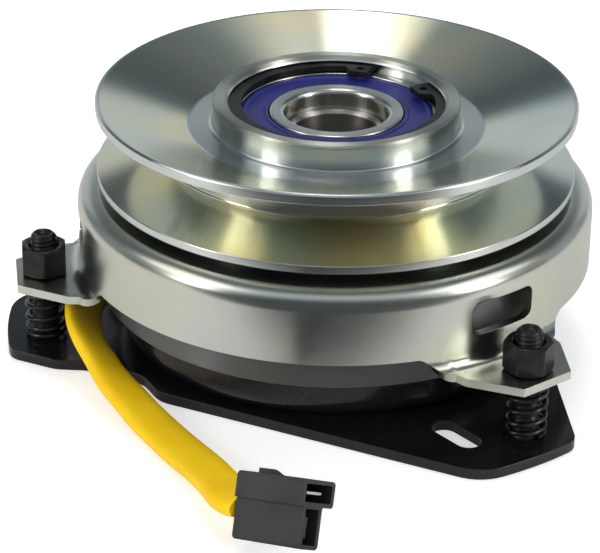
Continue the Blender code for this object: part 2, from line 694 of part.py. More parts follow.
def rotor_disc(surface, parent):
    """The pole face with its flux slots, and the skirt that runs round the field shell."""
    bore = HUB_SEAT + FIT
    skirt_in = SHELL_RADIUS + ROTOR_SHELL_GAP
    skirt_end = Z_ROTOR - ROTOR_SKIRT_DEPTH
    profile = [(bore, Z_ROTOR), (skirt_in, Z_ROTOR), (skirt_in, skirt_end), (ROTOR_RADIUS, skirt_end),
               (ROTOR_RADIUS, Z_ROTOR_TOP - EDGE_BREAK), (ROTOR_RADIUS - EDGE_BREAK, Z_ROTOR_TOP),
               (bore, Z_ROTOR_TOP)]
    disc = turned("rotor_disc", profile, MEDIUM, surface, parent)
    bm = bmesh.new()
    share = math.tau / ROTOR_SLOTS
    for row, radius in enumerate((INNER_SLOT_CIRCLE, OUTER_SLOT_CIRCLE)):
        for i in range(ROTOR_SLOTS):
            slot = arc_slot(radius, FLUX_SLOT_WIDTH, share * (i + row / 2), share - ROTOR_BRIDGE, 5, 2)
            add_prism(bm, slot, Z_ROTOR - SEAT, Z_ROTOR_TOP + SEAT)
    boolean(disc, cutter("cut_rotor_slots", bm), "DIFFERENCE")
    return disc


# Armature and leaf springs

def armature(surface, parent):
    profile = [(ARMATURE_BORE, Z_ARMATURE), (ROTOR_RADIUS, Z_ARMATURE),
               (ROTOR_RADIUS, Z_ARMATURE_TOP), (ARMATURE_BORE, Z_ARMATURE_TOP)]
    disc = turned("armature", profile, MEDIUM, surface, parent)
    bm = bmesh.new()
    below = Z_ARMATURE - SEAT
    above = Z_ARMATURE_TOP + SEAT
    share = math.tau / LOBES
    for angle in lobe_angles():
        slot = arc_slot(ARMATURE_SLOT_CIRCLE, FLUX_SLOT_WIDTH, angle, share - ARMATURE_BRIDGE, 7, 2)
        add_prism(bm, slot, below, above)
        own = polar(LEAF_CIRCLE, angle - LEAF_SWEEP / 2)
        other = polar(LEAF_CIRCLE, angle + LEAF_SWEEP / 2)
        add_prism(bm, circle(own, RIVET_RADIUS + FIT, 8), below, above)
        add_prism(bm, circle(other, RIVET_HEAD_RADIUS + 3 * FIT, 8), below, above)
    boolean(disc, cutter("cut_armature_slots", bm), "DIFFERENCE")
    return disc


def leaf_springs(surface, parent):
    """Flat steel leaves: one end on the armature, the other on the pulley."""
    for i, angle in enumerate(lobe_angles()):
        outline = arc_slot(LEAF_CIRCLE, LEAF_WIDTH, angle, LEAF_SWEEP, 5, 4)
        leaf = prism(f"leaf_spring_{i + 1}", outline, Z_LEAF, Z_LEAF_TOP, surface, parent)
        bm = bmesh.new()
        for side in (-1, 1):
            spot = polar(LEAF_CIRCLE, angle + side * LEAF_SWEEP / 2)
            add_prism(bm, circle(spot, RIVET_RADIUS + FIT, 8), Z_LEAF - SEAT, Z_LEAF_TOP + SEAT)
        boolean(leaf, cutter(f"cut_leaf_holes_{i + 1}", bm), "DIFFERENCE")


def rivet_mesh(name, head_up, surface):
    """A rivet with its head at the origin: the head above it and the shank below, or the reverse."""
    sign = 1 if head_up else -1
    profile = [(0, -sign * RIVET_LENGTH), (RIVET_RADIUS, -sign * RIVET_LENGTH), (RIVET_RADIUS, 0),
               (RIVET_HEAD_RADIUS, 0), (RIVET_HEAD_RADIUS * 0.8, sign * RIVET_HEAD_HEIGHT),
               (0, sign * RIVET_HEAD_HEIGHT)]
    bm = bmesh.new()
    add_turned(bm, profile, 8)
    return as_mesh(name, bm, surface)


def rivets(surface, armature_parent, pulley_parent):
    own = rivet_mesh("armature_rivet", True, surface)
    other = rivet_mesh("pulley_rivet", False, surface)
    for i, angle in enumerate(lobe_angles()):
        on_armature = link(f"armature_rivet_{i + 1}", own, armature_parent)
        on_armature.location = (*polar(LEAF_CIRCLE, angle - LEAF_SWEEP / 2), Z_LEAF_TOP + SEAT)
        on_pulley = link(f"pulley_rivet_{i + 1}", other, pulley_parent)
        on_pulley.location = (*polar(LEAF_CIRCLE, angle + LEAF_SWEEP / 2), Z_LEAF - SEAT)


# Brake plate

def cup_section():
    """Lengths along the middle of the sheet: flange, shoulder, wall, bend."""
    wall_radius = CUP_RADIUS - SHEET / 2
    shoulder = CUP_SHOULDER - SHEET / 2
    flange = wall_radius - shoulder - CUP_OPENING
    wall = CUP_HEIGHT - SHEET - shoulder - EAR_BEND
    return wall_radius, shoulder, flange, wall


def sheet_point(distance):
    """Radius, height and outward direction of the sheet's middle, so far from the flange's edge."""
    wall_radius, shoulder, flange, wall = cup_section()
    top = Z_CUP_TOP - SHEET / 2
    if distance <= flange:
        return CUP_OPENING + distance, top, 0.0, 1.0
    distance -= flange
    quarter = math.pi / 2
    if distance <= shoulder * quarter:
        angle = quarter - distance / shoulder
        c, s = polar(1.0, angle)
        return wall_radius - shoulder + shoulder * c, top - shoulder + shoulder * s, c, s
    distance -= shoulder * quarter
    if distance <= wall:
        return wall_radius, top - shoulder - distance, 1.0, 0.0
    distance -= wall
    bend_z = top - shoulder - wall
    if distance <= EAR_BEND * quarter:
        angle = distance / EAR_BEND
        c, s = polar(1.0, angle)
        return wall_radius + EAR_BEND * (1 - c), bend_z - EAR_BEND * s, c, s
    distance -= EAR_BEND * quarter
    return wall_radius + EAR_BEND + distance, bend_z - EAR_BEND, 0.0, 1.0


def sheet_end(offset):
    """Where the blank is trimmed, at an angle from the nearest ear's middle."""
    wall_radius, shoulder, flange, wall = cup_section()
    quarter = math.pi / 2
    bend_start = flange + shoulder * quarter + wall
    bend_end = bend_start + EAR_BEND * quarter
    rim = bend_start - (CUP_WALL_END - SHEET / 2 - EAR_BEND)
    taper = (EAR_ROOT_HALF - EAR_TIP_HALF) / (EAR_END - CUP_RADIUS)
    level = wall_radius + EAR_BEND
    tip = math.atan2(EAR_TIP_HALF, EAR_END)
    root = math.atan2(EAR_TIP_HALF + taper * (EAR_END - level), level)
    offset = abs(offset)
    if offset <= tip:
        return bend_end + EAR_END / math.cos(offset) - level
    if offset <= root:
        reach = (EAR_TIP_HALF + taper * EAR_END) / (math.sin(offset) + taper * math.cos(offset))
        return bend_end + reach - level
    if offset < EAR_BLEND:
        u = (offset - root) / (EAR_BLEND - root)
        return bend_end + (rim - bend_end) * u * u * (3 - 2 * u)
    return rim


def cup_columns():
    """Angles of the cup's columns, closer together round each ear."""
    tip = math.atan2(EAR_TIP_HALF, EAR_END)
    half_share = math.pi / LOBES
    near = [0, tip, (tip * 2 + EAR_BLEND) / 3, (tip + EAR_BLEND) / 2]
    near += [EAR_BLEND * share for share in (0.71, 0.78, 0.86, 0.93, 1.0)]
    plain = 4
    near += [EAR_BLEND + (half_share - EAR_BLEND) * i / plain for i in range(1, plain + 1)]
    columns = []
    for middle in lobe_angles():
        columns += [(middle - offset, offset) for offset in reversed(near[1:-1])]
        columns += [(middle + offset, offset) for offset in near]
    return columns


def brake_plate(surface, parent):
    """Each column follows the sheet's section to where the blank is trimmed at that angle."""
    wall_radius, shoulder, flange, wall = cup_section()
    quarter = math.pi / 2
    marks = [0]
    marks += [flange + shoulder * quarter * i / 3 for i in range(4)]
    bend_start = flange + shoulder * quarter + wall
    marks += [bend_start + EAR_BEND * quarter * i / 2 for i in range(3)]
    bm = bmesh.new()
    loops = []
    for angle, offset in cup_columns():
        end = sheet_end(offset)
        loop = []
        for side in (1, -1):
            stops = [min(mark, end) for mark in marks] + [end]
            if side < 0:
                stops.reverse()
            for stop in stops:
                r, z, nr, nz = sheet_point(stop)
                r += side * nr * SHEET / 2
                z += side * nz * SHEET / 2
                loop.append(bm.verts.new((*polar(r, angle), z)))
        loops.append(loop)
    for here, there in zip(loops, loops[1:] + loops[:1]):
        for i in range(len(here)):
            j = (i + 1) % len(here)
            bm.faces.new((here[i], there[i], there[j], here[j]))
    bmesh.ops.remove_doubles(bm, verts=bm.verts, dist=1e-6)
    plate = finish("brake_plate", bm, surface, parent)

    bm = bmesh.new()
    window = rounded_box(WINDOW_HEIGHT, WINDOW_WIDTH, WINDOW_CORNER, 2)
    for angle in lobe_angles():
        to_side = Matrix.Rotation(angle, 4, "Z") @ Matrix.Translation((0, 0, Z_EAR + WINDOW_CENTRE))
        to_side = to_side @ Matrix.Rotation(math.pi / 2, 4, "Y")
        add_prism(bm, window, CUP_RADIUS - 3 * SHEET, CUP_RADIUS + 3 * SHEET, to_side)
        hole = circle(polar(STUD_CIRCLE, angle), STUD_RADIUS + FIT, SMALL)
        add_prism(bm, hole, Z_EAR - SHEET, Z_EAR + 2 * SHEET)
    boolean(plate, cutter("cut_windows_and_stud_holes", bm), "DIFFERENCE")
    return plate


def brake_pads(surface, parent):
    """Friction blocks bonded under the flange, between the ears."""
    for i, angle in enumerate(lobe_angles()):
        outline = ring_sector(PAD_INNER, PAD_OUTER, angle + math.pi / LOBES, PAD_SWEEP, 6)
        prism(f"brake_pad_{i + 1}", outline, Z_PAD, Z_PAD + PAD_THICKNESS, surface, parent)


# Pulley

def pulley(surface, parent):
    """One turned piece: V groove, dished face, collar, bearing bore and the boss underneath."""
    slope = math.tan(GROOVE_ANGLE)
    half = GROOVE_OPENING / 2
    fall = GROOVE_DEPTH * slope
    top = Z_GROOVE + half + UPPER_RIM
    bottom = Z_GROOVE - half - LOWER_RIM
    bore = PULLEY_BEARING_RADIUS + FIT
    lip = PULLEY_BEARING_RADIUS - BEARING_LIP
    ring_groove = bore + SNAP_RING_DEPTH + FIT
    ring_top = Z_SNAP_RING + SNAP_RING_THICKNESS + SEAT
    under_ring = Z_SNAP_RING - SEAT
    rim_break = RIM_CHAMFER
    profile = [
        (lip, Z_BOSS), (BOSS_RADIUS, Z_BOSS), (BOSS_RADIUS, bottom),
        (PULLEY_RADIUS - rim_break / 2, bottom), (PULLEY_RADIUS, bottom + rim_break / 2),
        (PULLEY_RADIUS, Z_GROOVE - half), (GROOVE_BOTTOM, Z_GROOVE - half + fall),
        (GROOVE_BOTTOM, Z_GROOVE + half - fall), (PULLEY_RADIUS, Z_GROOVE + half),
        (PULLEY_RADIUS, top - rim_break / 2), (PULLEY_RADIUS - rim_break / 2, top),
        (PULLEY_RADIUS - rim_break, top), (FACE_INNER, Z_FACE),
        (COLLAR_RADIUS + EDGE_BREAK, Z_FACE), (COLLAR_RADIUS, Z_FACE + EDGE_BREAK),
        (COLLAR_RADIUS, Z_COLLAR_TOP - EDGE_BREAK), (COLLAR_RADIUS - EDGE_BREAK, Z_COLLAR_TOP),
        (COLLAR_MOUTH, Z_COLLAR_TOP), (bore, ring_top), (ring_groove, ring_top),
        (ring_groove, under_ring), (bore, under_ring), (bore, Z_PULLEY_BEARING - SEAT),
        (lip, Z_PULLEY_BEARING - SEAT),
    ]
    body = turned("pulley", profile, FINE, surface, parent)
    pads = bmesh.new()
    holes = bmesh.new()
    for angle in lobe_angles():
        spot = polar(LEAF_CIRCLE, angle + LEAF_SWEEP / 2)
        add_prism(pads, circle(spot, LEAF_WIDTH / 2, SMALL), Z_RIVET_PAD, Z_BOSS + BOSS_CLEARANCE)
        add_prism(holes, circle(spot, RIVET_RADIUS + FIT, 8), Z_RIVET_PAD - SEAT, Z_LEAF + RIVET_LENGTH)
    boolean(body, cutter("add_rivet_pads", pads), "UNION")
    boolean(body, cutter("cut_rivet_holes", holes), "DIFFERENCE")
    return body


def snap_ring(surface, parent):
    """Internal retaining ring, deepest opposite its gap, with two eyed lugs."""
    outer = PULLEY_BEARING_RADIUS + FIT + SNAP_RING_DEPTH
    start = SNAP_RING_TURN + SNAP_RING_GAP / 2
    sweep = math.tau - SNAP_RING_GAP
    lug_sweep = SNAP_RING_LUG_SWEEP
    body_steps = 30
    outline = arc((0, 0), outer, start, start + sweep, body_steps)
    outline += arc((0, 0), outer - SNAP_RING_LUG, start + sweep, start + sweep - lug_sweep, 2)
    for i in range(body_steps - 3):
        u = (i + 1) / (body_steps - 2)
        depth = SNAP_RING_END + (SNAP_RING_BODY - SNAP_RING_END) * math.sin(math.pi * u)
        angle = start + sweep - lug_sweep - (sweep - 2 * lug_sweep) * u
        outline.append(polar(outer - depth, angle))
    outline += arc((0, 0), outer - SNAP_RING_LUG, start + lug_sweep, start, 2)
    ring = prism("snap_ring", outline, Z_SNAP_RING, Z_SNAP_RING + SNAP_RING_THICKNESS, surface, parent)
    bm = bmesh.new()
    for angle in (start + lug_sweep / 2, start + sweep - lug_sweep / 2):
        spot = polar(outer - SNAP_RING_LUG * 0.62, angle)
        add_prism(bm, circle(spot, SNAP_RING_EYE, 8), Z_SNAP_RING - SEAT,
                  Z_SNAP_RING + 2 * SNAP_RING_THICKNESS)
    boolean(ring, cutter("cut_lug_eyes", bm), "DIFFERENCE")
    return ring


# Lead, grommet and plug

def add_bar(bm, start, end, radius, segments):
    """Adds a round bar between two points."""
    axis = end - start
    turn = Vector((0, 0, 1)).rotation_difference(axis).to_matrix().to_4x4()
    place = Matrix.Translation(start) @ turn
    add_prism(bm, circle((0, 0), radius, segments), 0, axis.length, place)


def past_shell(distance, degrees, height):
    """A point placed from the shell wall, in metres, from millimetres and degrees."""
    x, y = polar(SHELL_RADIUS + distance * 0.001, math.radians(degrees))
    return Vector((x, y, height * 0.001))


def route():
    return [past_shell(*point) for point in LEAD_ROUTE]


def grommet_ends():
    """The grommet lies along the lead's first stretch, from inside the shell wall to the exit."""
    points = route()
    direction = (points[0] - points[1]).normalized()
    exit_point = points[0] + direction * SEAT
    start = exit_point + direction * GROMMET_DEPTH
    return start, exit_point


def grommet(surface, parent):
    start, end = grommet_ends()
    bm = bmesh.new()
    inset = (end - start).normalized() * SEAT
    add_bar(bm, start + inset, end, GROMMET_RADIUS, SMALL)
    return finish("lead_grommet", bm, surface, parent)


def smooth_path(points, spacing):
    """A Catmull-Rom curve through the points, read at even steps."""
    dense = []
    fill = 12
    for i in range(len(points) - 1):
        before = points[max(i - 1, 0)]
        here = points[i]
        there = points[i + 1]
        after = points[min(i + 2, len(points) - 1)]
        for k in range(fill):
            t = k / fill
            dense.append(0.5 * (2 * here + (there - before) * t
                                + (2 * before - 5 * here + 4 * there - after) * t ** 2
                                + (3 * here - before - 3 * there + after) * t ** 3))
    dense.append(points[-1])
    total = sum((b - a).length for a, b in zip(dense, dense[1:]))
    count = max(2, round(total / spacing))
    step = total / count
    path = [dense[0]]
    travelled = 0.0
    for a, b in zip(dense, dense[1:]):
        travelled += (b - a).length
        if travelled >= step * len(path) and len(path) < count:
            path.append(b)
    path.append(dense[-1])
    return path


def lead(surface, parent):
    """The sleeve's plain round stand-in, along its real route."""
    path = smooth_path(route(), 2.2 * LEAD_RADIUS)
    curve = tube_curve("lead", path, LEAD_RADIUS, 2, surface)
    return link("lead", curve, parent)


def plug(plastic, brass, parent):
    """Two-way plug: a level bay along the top and an upright bay below it, each with a contact."""
    seat = empty("plug_seat", past_shell(*PLUG_CORNER))
    seat.rotation_euler = PLUG_TURN
    seat.parent = parent
    outline = [(0, 0), (0, -PLUG_BAR_HEIGHT), (PLUG_STEM_START, -PLUG_BAR_HEIGHT),
               (PLUG_STEM_START, -PLUG_HEIGHT), (PLUG_STEM_END, -PLUG_HEIGHT),
               (PLUG_STEM_END, -PLUG_BAR_HEIGHT), (PLUG_BAR_WIDTH, -PLUG_BAR_HEIGHT), (PLUG_BAR_WIDTH, 0)]
    # The outline is drawn across the plug and extruded along its length
    across = Matrix(((0, 0, 1, 0), (1, 0, 0, 0), (0, 1, 0, 0), (0, 0, 0, 1)))
    bm = bmesh.new()
    add_prism(bm, outline, 0, PLUG_LENGTH, across)
    housing = finish("plug_housing", bm, plastic, seat)
    bevel = housing.modifiers.new("corners", "BEVEL")
    bevel.width = PLUG_CORNER_RADIUS
    bevel.segments = 1
    bevel.limit_method = "ANGLE"

    latch = bmesh.new()
    ramp = [(PLUG_LENGTH * 0.22, -LATCH_HEIGHT), (PLUG_LENGTH * 0.45, -LATCH_HEIGHT),
            (PLUG_LENGTH * 0.45, 0), (PLUG_LENGTH * 0.32, LATCH_HEIGHT), (PLUG_LENGTH * 0.22, LATCH_HEIGHT)]
    upright = Matrix(((1, 0, 0, 0), (0, 0, 1, 0), (0, 1, 0, 0), (0, 0, 0, 1)))
    add_prism(latch, ramp, PLUG_BAR_WIDTH * 0.2, PLUG_BAR_WIDTH * 0.55, upright)
    latch_piece = cutter("add_latch", latch)
    latch_piece.parent = seat
    boolean(housing, latch_piece, "UNION")

    bays = bmesh.new()
    bar_bay = [(PLUG_WALL, -PLUG_WALL), (PLUG_BAR_WIDTH - PLUG_WALL, -PLUG_WALL),
               (PLUG_BAR_WIDTH - PLUG_WALL, PLUG_WALL - PLUG_BAR_HEIGHT), (PLUG_WALL, PLUG_WALL - PLUG_BAR_HEIGHT)]
    stem_in = PLUG_STEM_START + PLUG_WALL
    stem_out = PLUG_STEM_END - PLUG_WALL
    stem_bay = [(stem_in, -PLUG_BAR_HEIGHT - PLUG_WALL / 2), (stem_out, -PLUG_BAR_HEIGHT - PLUG_WALL / 2),
                (stem_out, PLUG_WALL - PLUG_HEIGHT), (stem_in, PLUG_WALL - PLUG_HEIGHT)]
    floor = PLUG_LENGTH - PLUG_POCKET
    for bay in (bar_bay, stem_bay):
        add_prism(bays, bay, floor, PLUG_LENGTH + PLUG_WALL, across)
    bay_cutter = cutter("cut_bays", bays)
    bay_cutter.parent = seat
    boolean(housing, bay_cutter, "DIFFERENCE")

    middle_bar = (PLUG_BAR_WIDTH / 2, -PLUG_BAR_HEIGHT / 2)
    middle_stem = ((stem_in + stem_out) / 2, -(PLUG_BAR_HEIGHT + PLUG_HEIGHT) / 2)
    for name, (y, z), width, height in (
            ("contact_level", middle_bar, CONTACT_WIDTH, CONTACT_THICKNESS),
            ("contact_upright", middle_stem, CONTACT_THICKNESS, CONTACT_WIDTH)):
        blade = rounded_box(width, height, CONTACT_THICKNESS / 4, 1)
        bm = bmesh.new()
        add_prism(bm, [(y + a, z + b) for a, b in blade], floor + SEAT, floor + SEAT + CONTACT_LENGTH, across)
        finish(name, bm, brass, seat)


# Whole clutch

def main():
    for obj in list(bpy.data.objects):
        bpy.data.objects.remove(obj, do_unlink=True)

    zinc = material("zinc", (0.72, 0.71, 0.67), 0.32, 1.0)
    bright_steel = material("bright_steel", (0.76, 0.75, 0.74), 0.22, 1.0)
    black_paint = material("black_paint", (0.012, 0.012, 0.013), 0.22, 0.0)
    black_oxide = material("black_oxide", (0.03, 0.03, 0.032), 0.38, 0.7)
    spring_steel = material("spring_steel", (0.10, 0.09, 0.08), 0.3, 0.9)
    rotor_iron = material("rotor_iron", (0.33, 0.33, 0.32), 0.4, 0.9)
    blue_rubber = material("blue_rubber", (0.03, 0.03, 0.22), 0.45, 0.0)
    friction = material("friction_lining", (0.16, 0.14, 0.11), 0.85, 0.0)
    nylon = material("nylon", (0.75, 0.73, 0.66), 0.5, 0.0)
    copper = material("copper", (0.72, 0.38, 0.2), 0.35, 1.0)
    resin = material("resin", (0.02, 0.02, 0.02), 0.4, 0.0)
    yellow_sleeve = material("yellow_sleeve", (0.88, 0.55, 0.02), 0.45, 0.0)
    black_plastic = material("black_plastic", (0.045, 0.047, 0.048), 0.5, 0.0)
    tin = material("tin", (0.7, 0.69, 0.66), 0.25, 1.0)

    field = empty("field_side")
    rotor = empty("rotor_axis")
    pulley_axis = empty("pulley_axis")
    armature_axis = empty("armature_axis")
    field_cage = empty("field_cage_axis")
    pulley_cage = empty("pulley_cage_axis")

    mounting_plate(black_paint, field)
    studs_nuts_springs(black_oxide, spring_steel, field)
    field_shell(black_paint, field)
    coil(nylon, copper, resin, field)
    bearing("field_bearing", FIELD_BEARING_BORE, FIELD_BEARING_RADIUS, FIELD_BEARING_WIDTH,
            Z_FIELD_BEARING, FIELD_BALL, COARSE,
            {"steel": bright_steel, "seal": blue_rubber, "outer": field, "inner": rotor, "cage": field_cage})

    rotor_hub(bright_steel, rotor)
    rotor_disc(rotor_iron, rotor)
    bearing("pulley_bearing", PULLEY_BEARING_BORE, PULLEY_BEARING_RADIUS, PULLEY_BEARING_WIDTH,
            Z_PULLEY_BEARING, PULLEY_BALL, MEDIUM,
            {"steel": bright_steel, "seal": blue_rubber, "outer": pulley_axis, "inner": rotor,
             "cage": pulley_cage})

    armature(rotor_iron, armature_axis)
    leaf_springs(spring_steel, pulley_axis)
    rivets(bright_steel, armature_axis, pulley_axis)
    brake_plate(zinc, field)
    brake_pads(friction, field)

    pulley(zinc, pulley_axis)
    snap_ring(spring_steel, pulley_axis)

    grommet(resin, field)
    lead(yellow_sleeve, field)
    plug(black_plastic, tin, field)


main()
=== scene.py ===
"""The look of the PTO clutch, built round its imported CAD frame.

Lengths in the tables below are millimetres, in the frame of the CAD model: Z is the shaft axis and
0 is the underside of the mounting plate.
"""
import math

import bmesh
import bpy
from mathutils import Euler, Matrix, Vector

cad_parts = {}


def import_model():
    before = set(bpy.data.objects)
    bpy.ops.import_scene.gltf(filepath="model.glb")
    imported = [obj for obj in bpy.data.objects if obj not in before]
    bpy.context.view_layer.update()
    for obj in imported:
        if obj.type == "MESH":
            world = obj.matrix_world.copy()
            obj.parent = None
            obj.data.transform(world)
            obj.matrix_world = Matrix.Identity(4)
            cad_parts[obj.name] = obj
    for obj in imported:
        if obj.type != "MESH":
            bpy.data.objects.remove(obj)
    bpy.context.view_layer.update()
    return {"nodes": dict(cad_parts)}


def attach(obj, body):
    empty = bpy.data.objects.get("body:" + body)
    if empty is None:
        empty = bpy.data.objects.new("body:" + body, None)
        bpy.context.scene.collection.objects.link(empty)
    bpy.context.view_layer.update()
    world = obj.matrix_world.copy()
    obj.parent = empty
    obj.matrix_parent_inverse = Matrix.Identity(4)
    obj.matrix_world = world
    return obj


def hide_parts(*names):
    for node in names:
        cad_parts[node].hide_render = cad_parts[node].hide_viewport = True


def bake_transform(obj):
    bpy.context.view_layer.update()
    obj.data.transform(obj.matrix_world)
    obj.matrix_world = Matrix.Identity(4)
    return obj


MM = 0.001

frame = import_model()

QUARTER = math.pi / 2
SEGMENTS = 256            # facets round a full turn of the larger pieces

# Stations and sizes that several pieces share
LOBES = 3
LOBE_ANGLES = [math.radians(-52.2) + math.tau * i / LOBES for i in range(LOBES)]
STUD_CIRCLE = 86.3
PLATE_TOP = 3.2
EAR_UNDERSIDE = 21.2
CUP_TOP = 49.8
SHEET = 2.5
GAP = 0.3                 # between pieces that touch in the real clutch


# Outlines

def polar(radius, angle):
    return (radius * math.cos(angle), radius * math.sin(angle))


def arc(centre, radius, start, end, steps):
    """Points along an arc, both ends included."""
    points = []
    for i in range(steps + 1):
        x, y = polar(radius, start + (end - start) * i / steps)
        points.append((centre[0] + x, centre[1] + y))
    return points


def circle(centre, radius, segments):
    return arc(centre, radius, 0, math.tau, segments)[:-1]


def rounded(points, radius, steps=3):
    """The closed outline with its corners rounded. A third number is that corner's own radius."""
    outline = []
    count = len(points)
    for i, point in enumerate(points):
        own = point[2] if len(point) > 2 else radius
        here = Vector(point[:2])
        back = Vector(points[i - 1][:2]) - here
        on = Vector(points[(i + 1) % count][:2]) - here
        angle = back.angle(on)
        if own <= 0 or angle > math.radians(176):
            outline.append(tuple(here))
            continue
        cut = min(own / math.tan(angle / 2), 0.45 * back.length, 0.45 * on.length)
        true_radius = cut * math.tan(angle / 2)
        middle = (back.normalized() + on.normalized()).normalized()
        centre = here + middle * (true_radius / math.sin(angle / 2))
        first = here + back.normalized() * cut - centre
        last = here + on.normalized() * cut - centre
        sweep = first.angle(last)
        for k in range(steps + 1):
            t = k / steps
            offset = (first * math.sin((1 - t) * sweep) + last * math.sin(t * sweep)) / math.sin(sweep)
            outline.append(tuple(centre + offset))
    return outline


def arc_slot(radius, width, middle, sweep, steps, end_steps):
    """A slot with round ends, bent round the origin."""
    start = middle - sweep / 2
    end = middle + sweep / 2
    outer = arc((0, 0), radius + width / 2, start, end, steps)
    inner = arc((0, 0), radius - width / 2, end, start, steps)
    far_cap = arc(polar(radius, end), width / 2, end, end + math.pi, end_steps)
    near_cap = arc(polar(radius, start), width / 2, start + math.pi, start + math.tau, end_steps)
    return outer + far_cap[1:-1] + inner + near_cap[1:-1]


def rectangle(x0, x1, y0, y1):
    return [(x0, y0), (x1, y0), (x1, y1), (x0, y1)]


def eased(t):
    """0 to 1 with a soft start and end."""
    return t * t * (3 - 2 * t)


# Meshes, drawn in millimetres and scaled to metres when they are finished

def bridge(bm, loop, other):
    """Quads between two closed loops of vertices."""
    for i in range(len(loop)):
        j = (i + 1) % len(loop)
        bm.faces.new((loop[i], loop[j], other[j], other[i]))


def add_turned(bm, profile, segments=SEGMENTS, place=None):
    """Turns a closed outline of (radius, height) points about the axis. It may vary with the angle."""
    matrix = place or Matrix.Identity(4)
    columns = []
    for i in range(segments):
        angle = math.tau * i / segments
        points = profile(angle) if callable(profile) else profile
        columns.append([bm.verts.new(matrix @ Vector((*polar(r, angle), z))) for r, z in points])
    for here, there in zip(columns, columns[1:] + columns[:1]):
        for j in range(len(here)):
            k = (j + 1) % len(here)
            bm.faces.new((here[j], there[j], there[k], here[k]))
    bmesh.ops.remove_doubles(bm, verts=bm.verts, dist=1e-4)


def add_prism(bm, outline, bottom, top, place=None):
    matrix = place or Matrix.Identity(4)
    low = [bm.verts.new(matrix @ Vector((x, y, bottom))) for x, y in outline]
    high = [bm.verts.new(matrix @ Vector((x, y, top))) for x, y in outline]
    bm.faces.new(low)
    bm.faces.new(high)
    bridge(bm, low, high)


def add_tube(bm, rings):
    """Joins rings of vertices into a tube with closed ends."""
    for here, there in zip(rings, rings[1:]):
        bridge(bm, here, there)
    bm.faces.new(rings[0][::-1])
    bm.faces.new(rings[-1])


def add_swept(bm, path, section, across):
    """Sweeps a section along a path. across(direction, point, share) gives the section's first axis."""
    last = len(path) - 1
    rings = []
    for i, point in enumerate(path):
        direction = (path[min(i + 1, last)] - path[max(i - 1, 0)]).normalized()
        wide = across(direction, point, i / last)
        thin = direction.cross(wide)
        rings.append([bm.verts.new(point + wide * x + thin * y) for x, y in section])
    add_tube(bm, rings)


def placed(name, data):
    obj = bpy.data.objects.new(name, data)
    bpy.context.scene.collection.objects.link(obj)
    return obj


def shade(mesh, smooth_angle=32):
    """Smooth shading, with the edges above an angle left sharp."""
    mesh.shade_smooth()
    mesh.set_sharp_from_angle(angle=math.radians(smooth_angle))


def solid(name, bm, smooth_angle=32):
    bmesh.ops.recalc_face_normals(bm, faces=bm.faces)
    bmesh.ops.scale(bm, vec=(MM, MM, MM), verts=bm.verts)
    mesh = bpy.data.meshes.new(name)
    bm.to_mesh(mesh)
    bm.free()
    shade(mesh, smooth_angle)
    return placed(name, mesh)


# The pieces finished so far
PIECES = []


def piece(name, bm, surface, body, node, smooth_angle=32):
    """Finishes a mesh as a visible piece that rides on a body and stands for a CAD node."""
    obj = solid(name, bm, smooth_angle)
    obj.data.materials.append(surface)
    PIECES.append(obj)
    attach(obj, body)
    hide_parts(node)
    return obj


def turned(name, profile, surface, body, node, steps=3):
    bm = bmesh.new()
    add_turned(bm, rounded(profile, 0.3, steps))
    return piece(name, bm, surface, body, node)


def modify(obj, kind, **settings):
    """Applies a modifier at once, so that only the finished mesh is left."""
    modifier = obj.modifiers.new(kind, kind)
    for key, value in settings.items():
        setattr(modifier, key, value)
    bpy.context.view_layer.update()
    ready = obj.evaluated_get(bpy.context.evaluated_depsgraph_get())
    mesh = bpy.data.meshes.new_from_object(ready)
    obj.modifiers.clear()
    old = obj.data
    obj.data = mesh
    bpy.data.meshes.remove(old)
    mesh.name = obj.name
    return mesh


def cut(obj, helper, operation="DIFFERENCE"):
    """Cuts a helper out of a piece, or joins it to the piece, and removes the helper."""
    shade(modify(obj, "BOOLEAN", operation=operation, solver="EXACT", object=helper))
    bpy.data.objects.remove(helper, do_unlink=True)


def cut_prisms(obj, outlines, bottom, top, operation="DIFFERENCE"):
    """Cuts upright prisms out of a piece, or joins them to it."""
    bm = bmesh.new()
    for outline in outlines:
        add_prism(bm, outline, bottom, top)
    cut(obj, solid("prisms", bm), operation)


def soften(obj, width, segments=2, angle=35):
    """Rounds the sharp edges a little."""
    shade(modify(obj, "BEVEL", width=width * MM, segments=segments, limit_method="ANGLE",
                 angle_limit=math.radians(angle), harden_normals=False))


def flatten_shading():
    """Large faces keep their own normals, so that only the rounded edges between them look round."""
    for obj in PIECES:
        modify(obj, "WEIGHTED_NORMAL", keep_sharp=True)


# Camera, found by fitting the pulley's circles in the photograph

FOCAL_PIXELS = 2483.06
IMAGE_WIDTH = 600
IMAGE_CENTRE = (300, 276.5)
CAMERA_DISTANCE = 0.720
CAMERA_ELEVATION = 0.46821
CAMERA_ROLL = 0.0112
AIM_HEIGHT = 0.0762           # the pulley's top edge, on the axis
AIM_PIXEL = (336.756, 94.079)


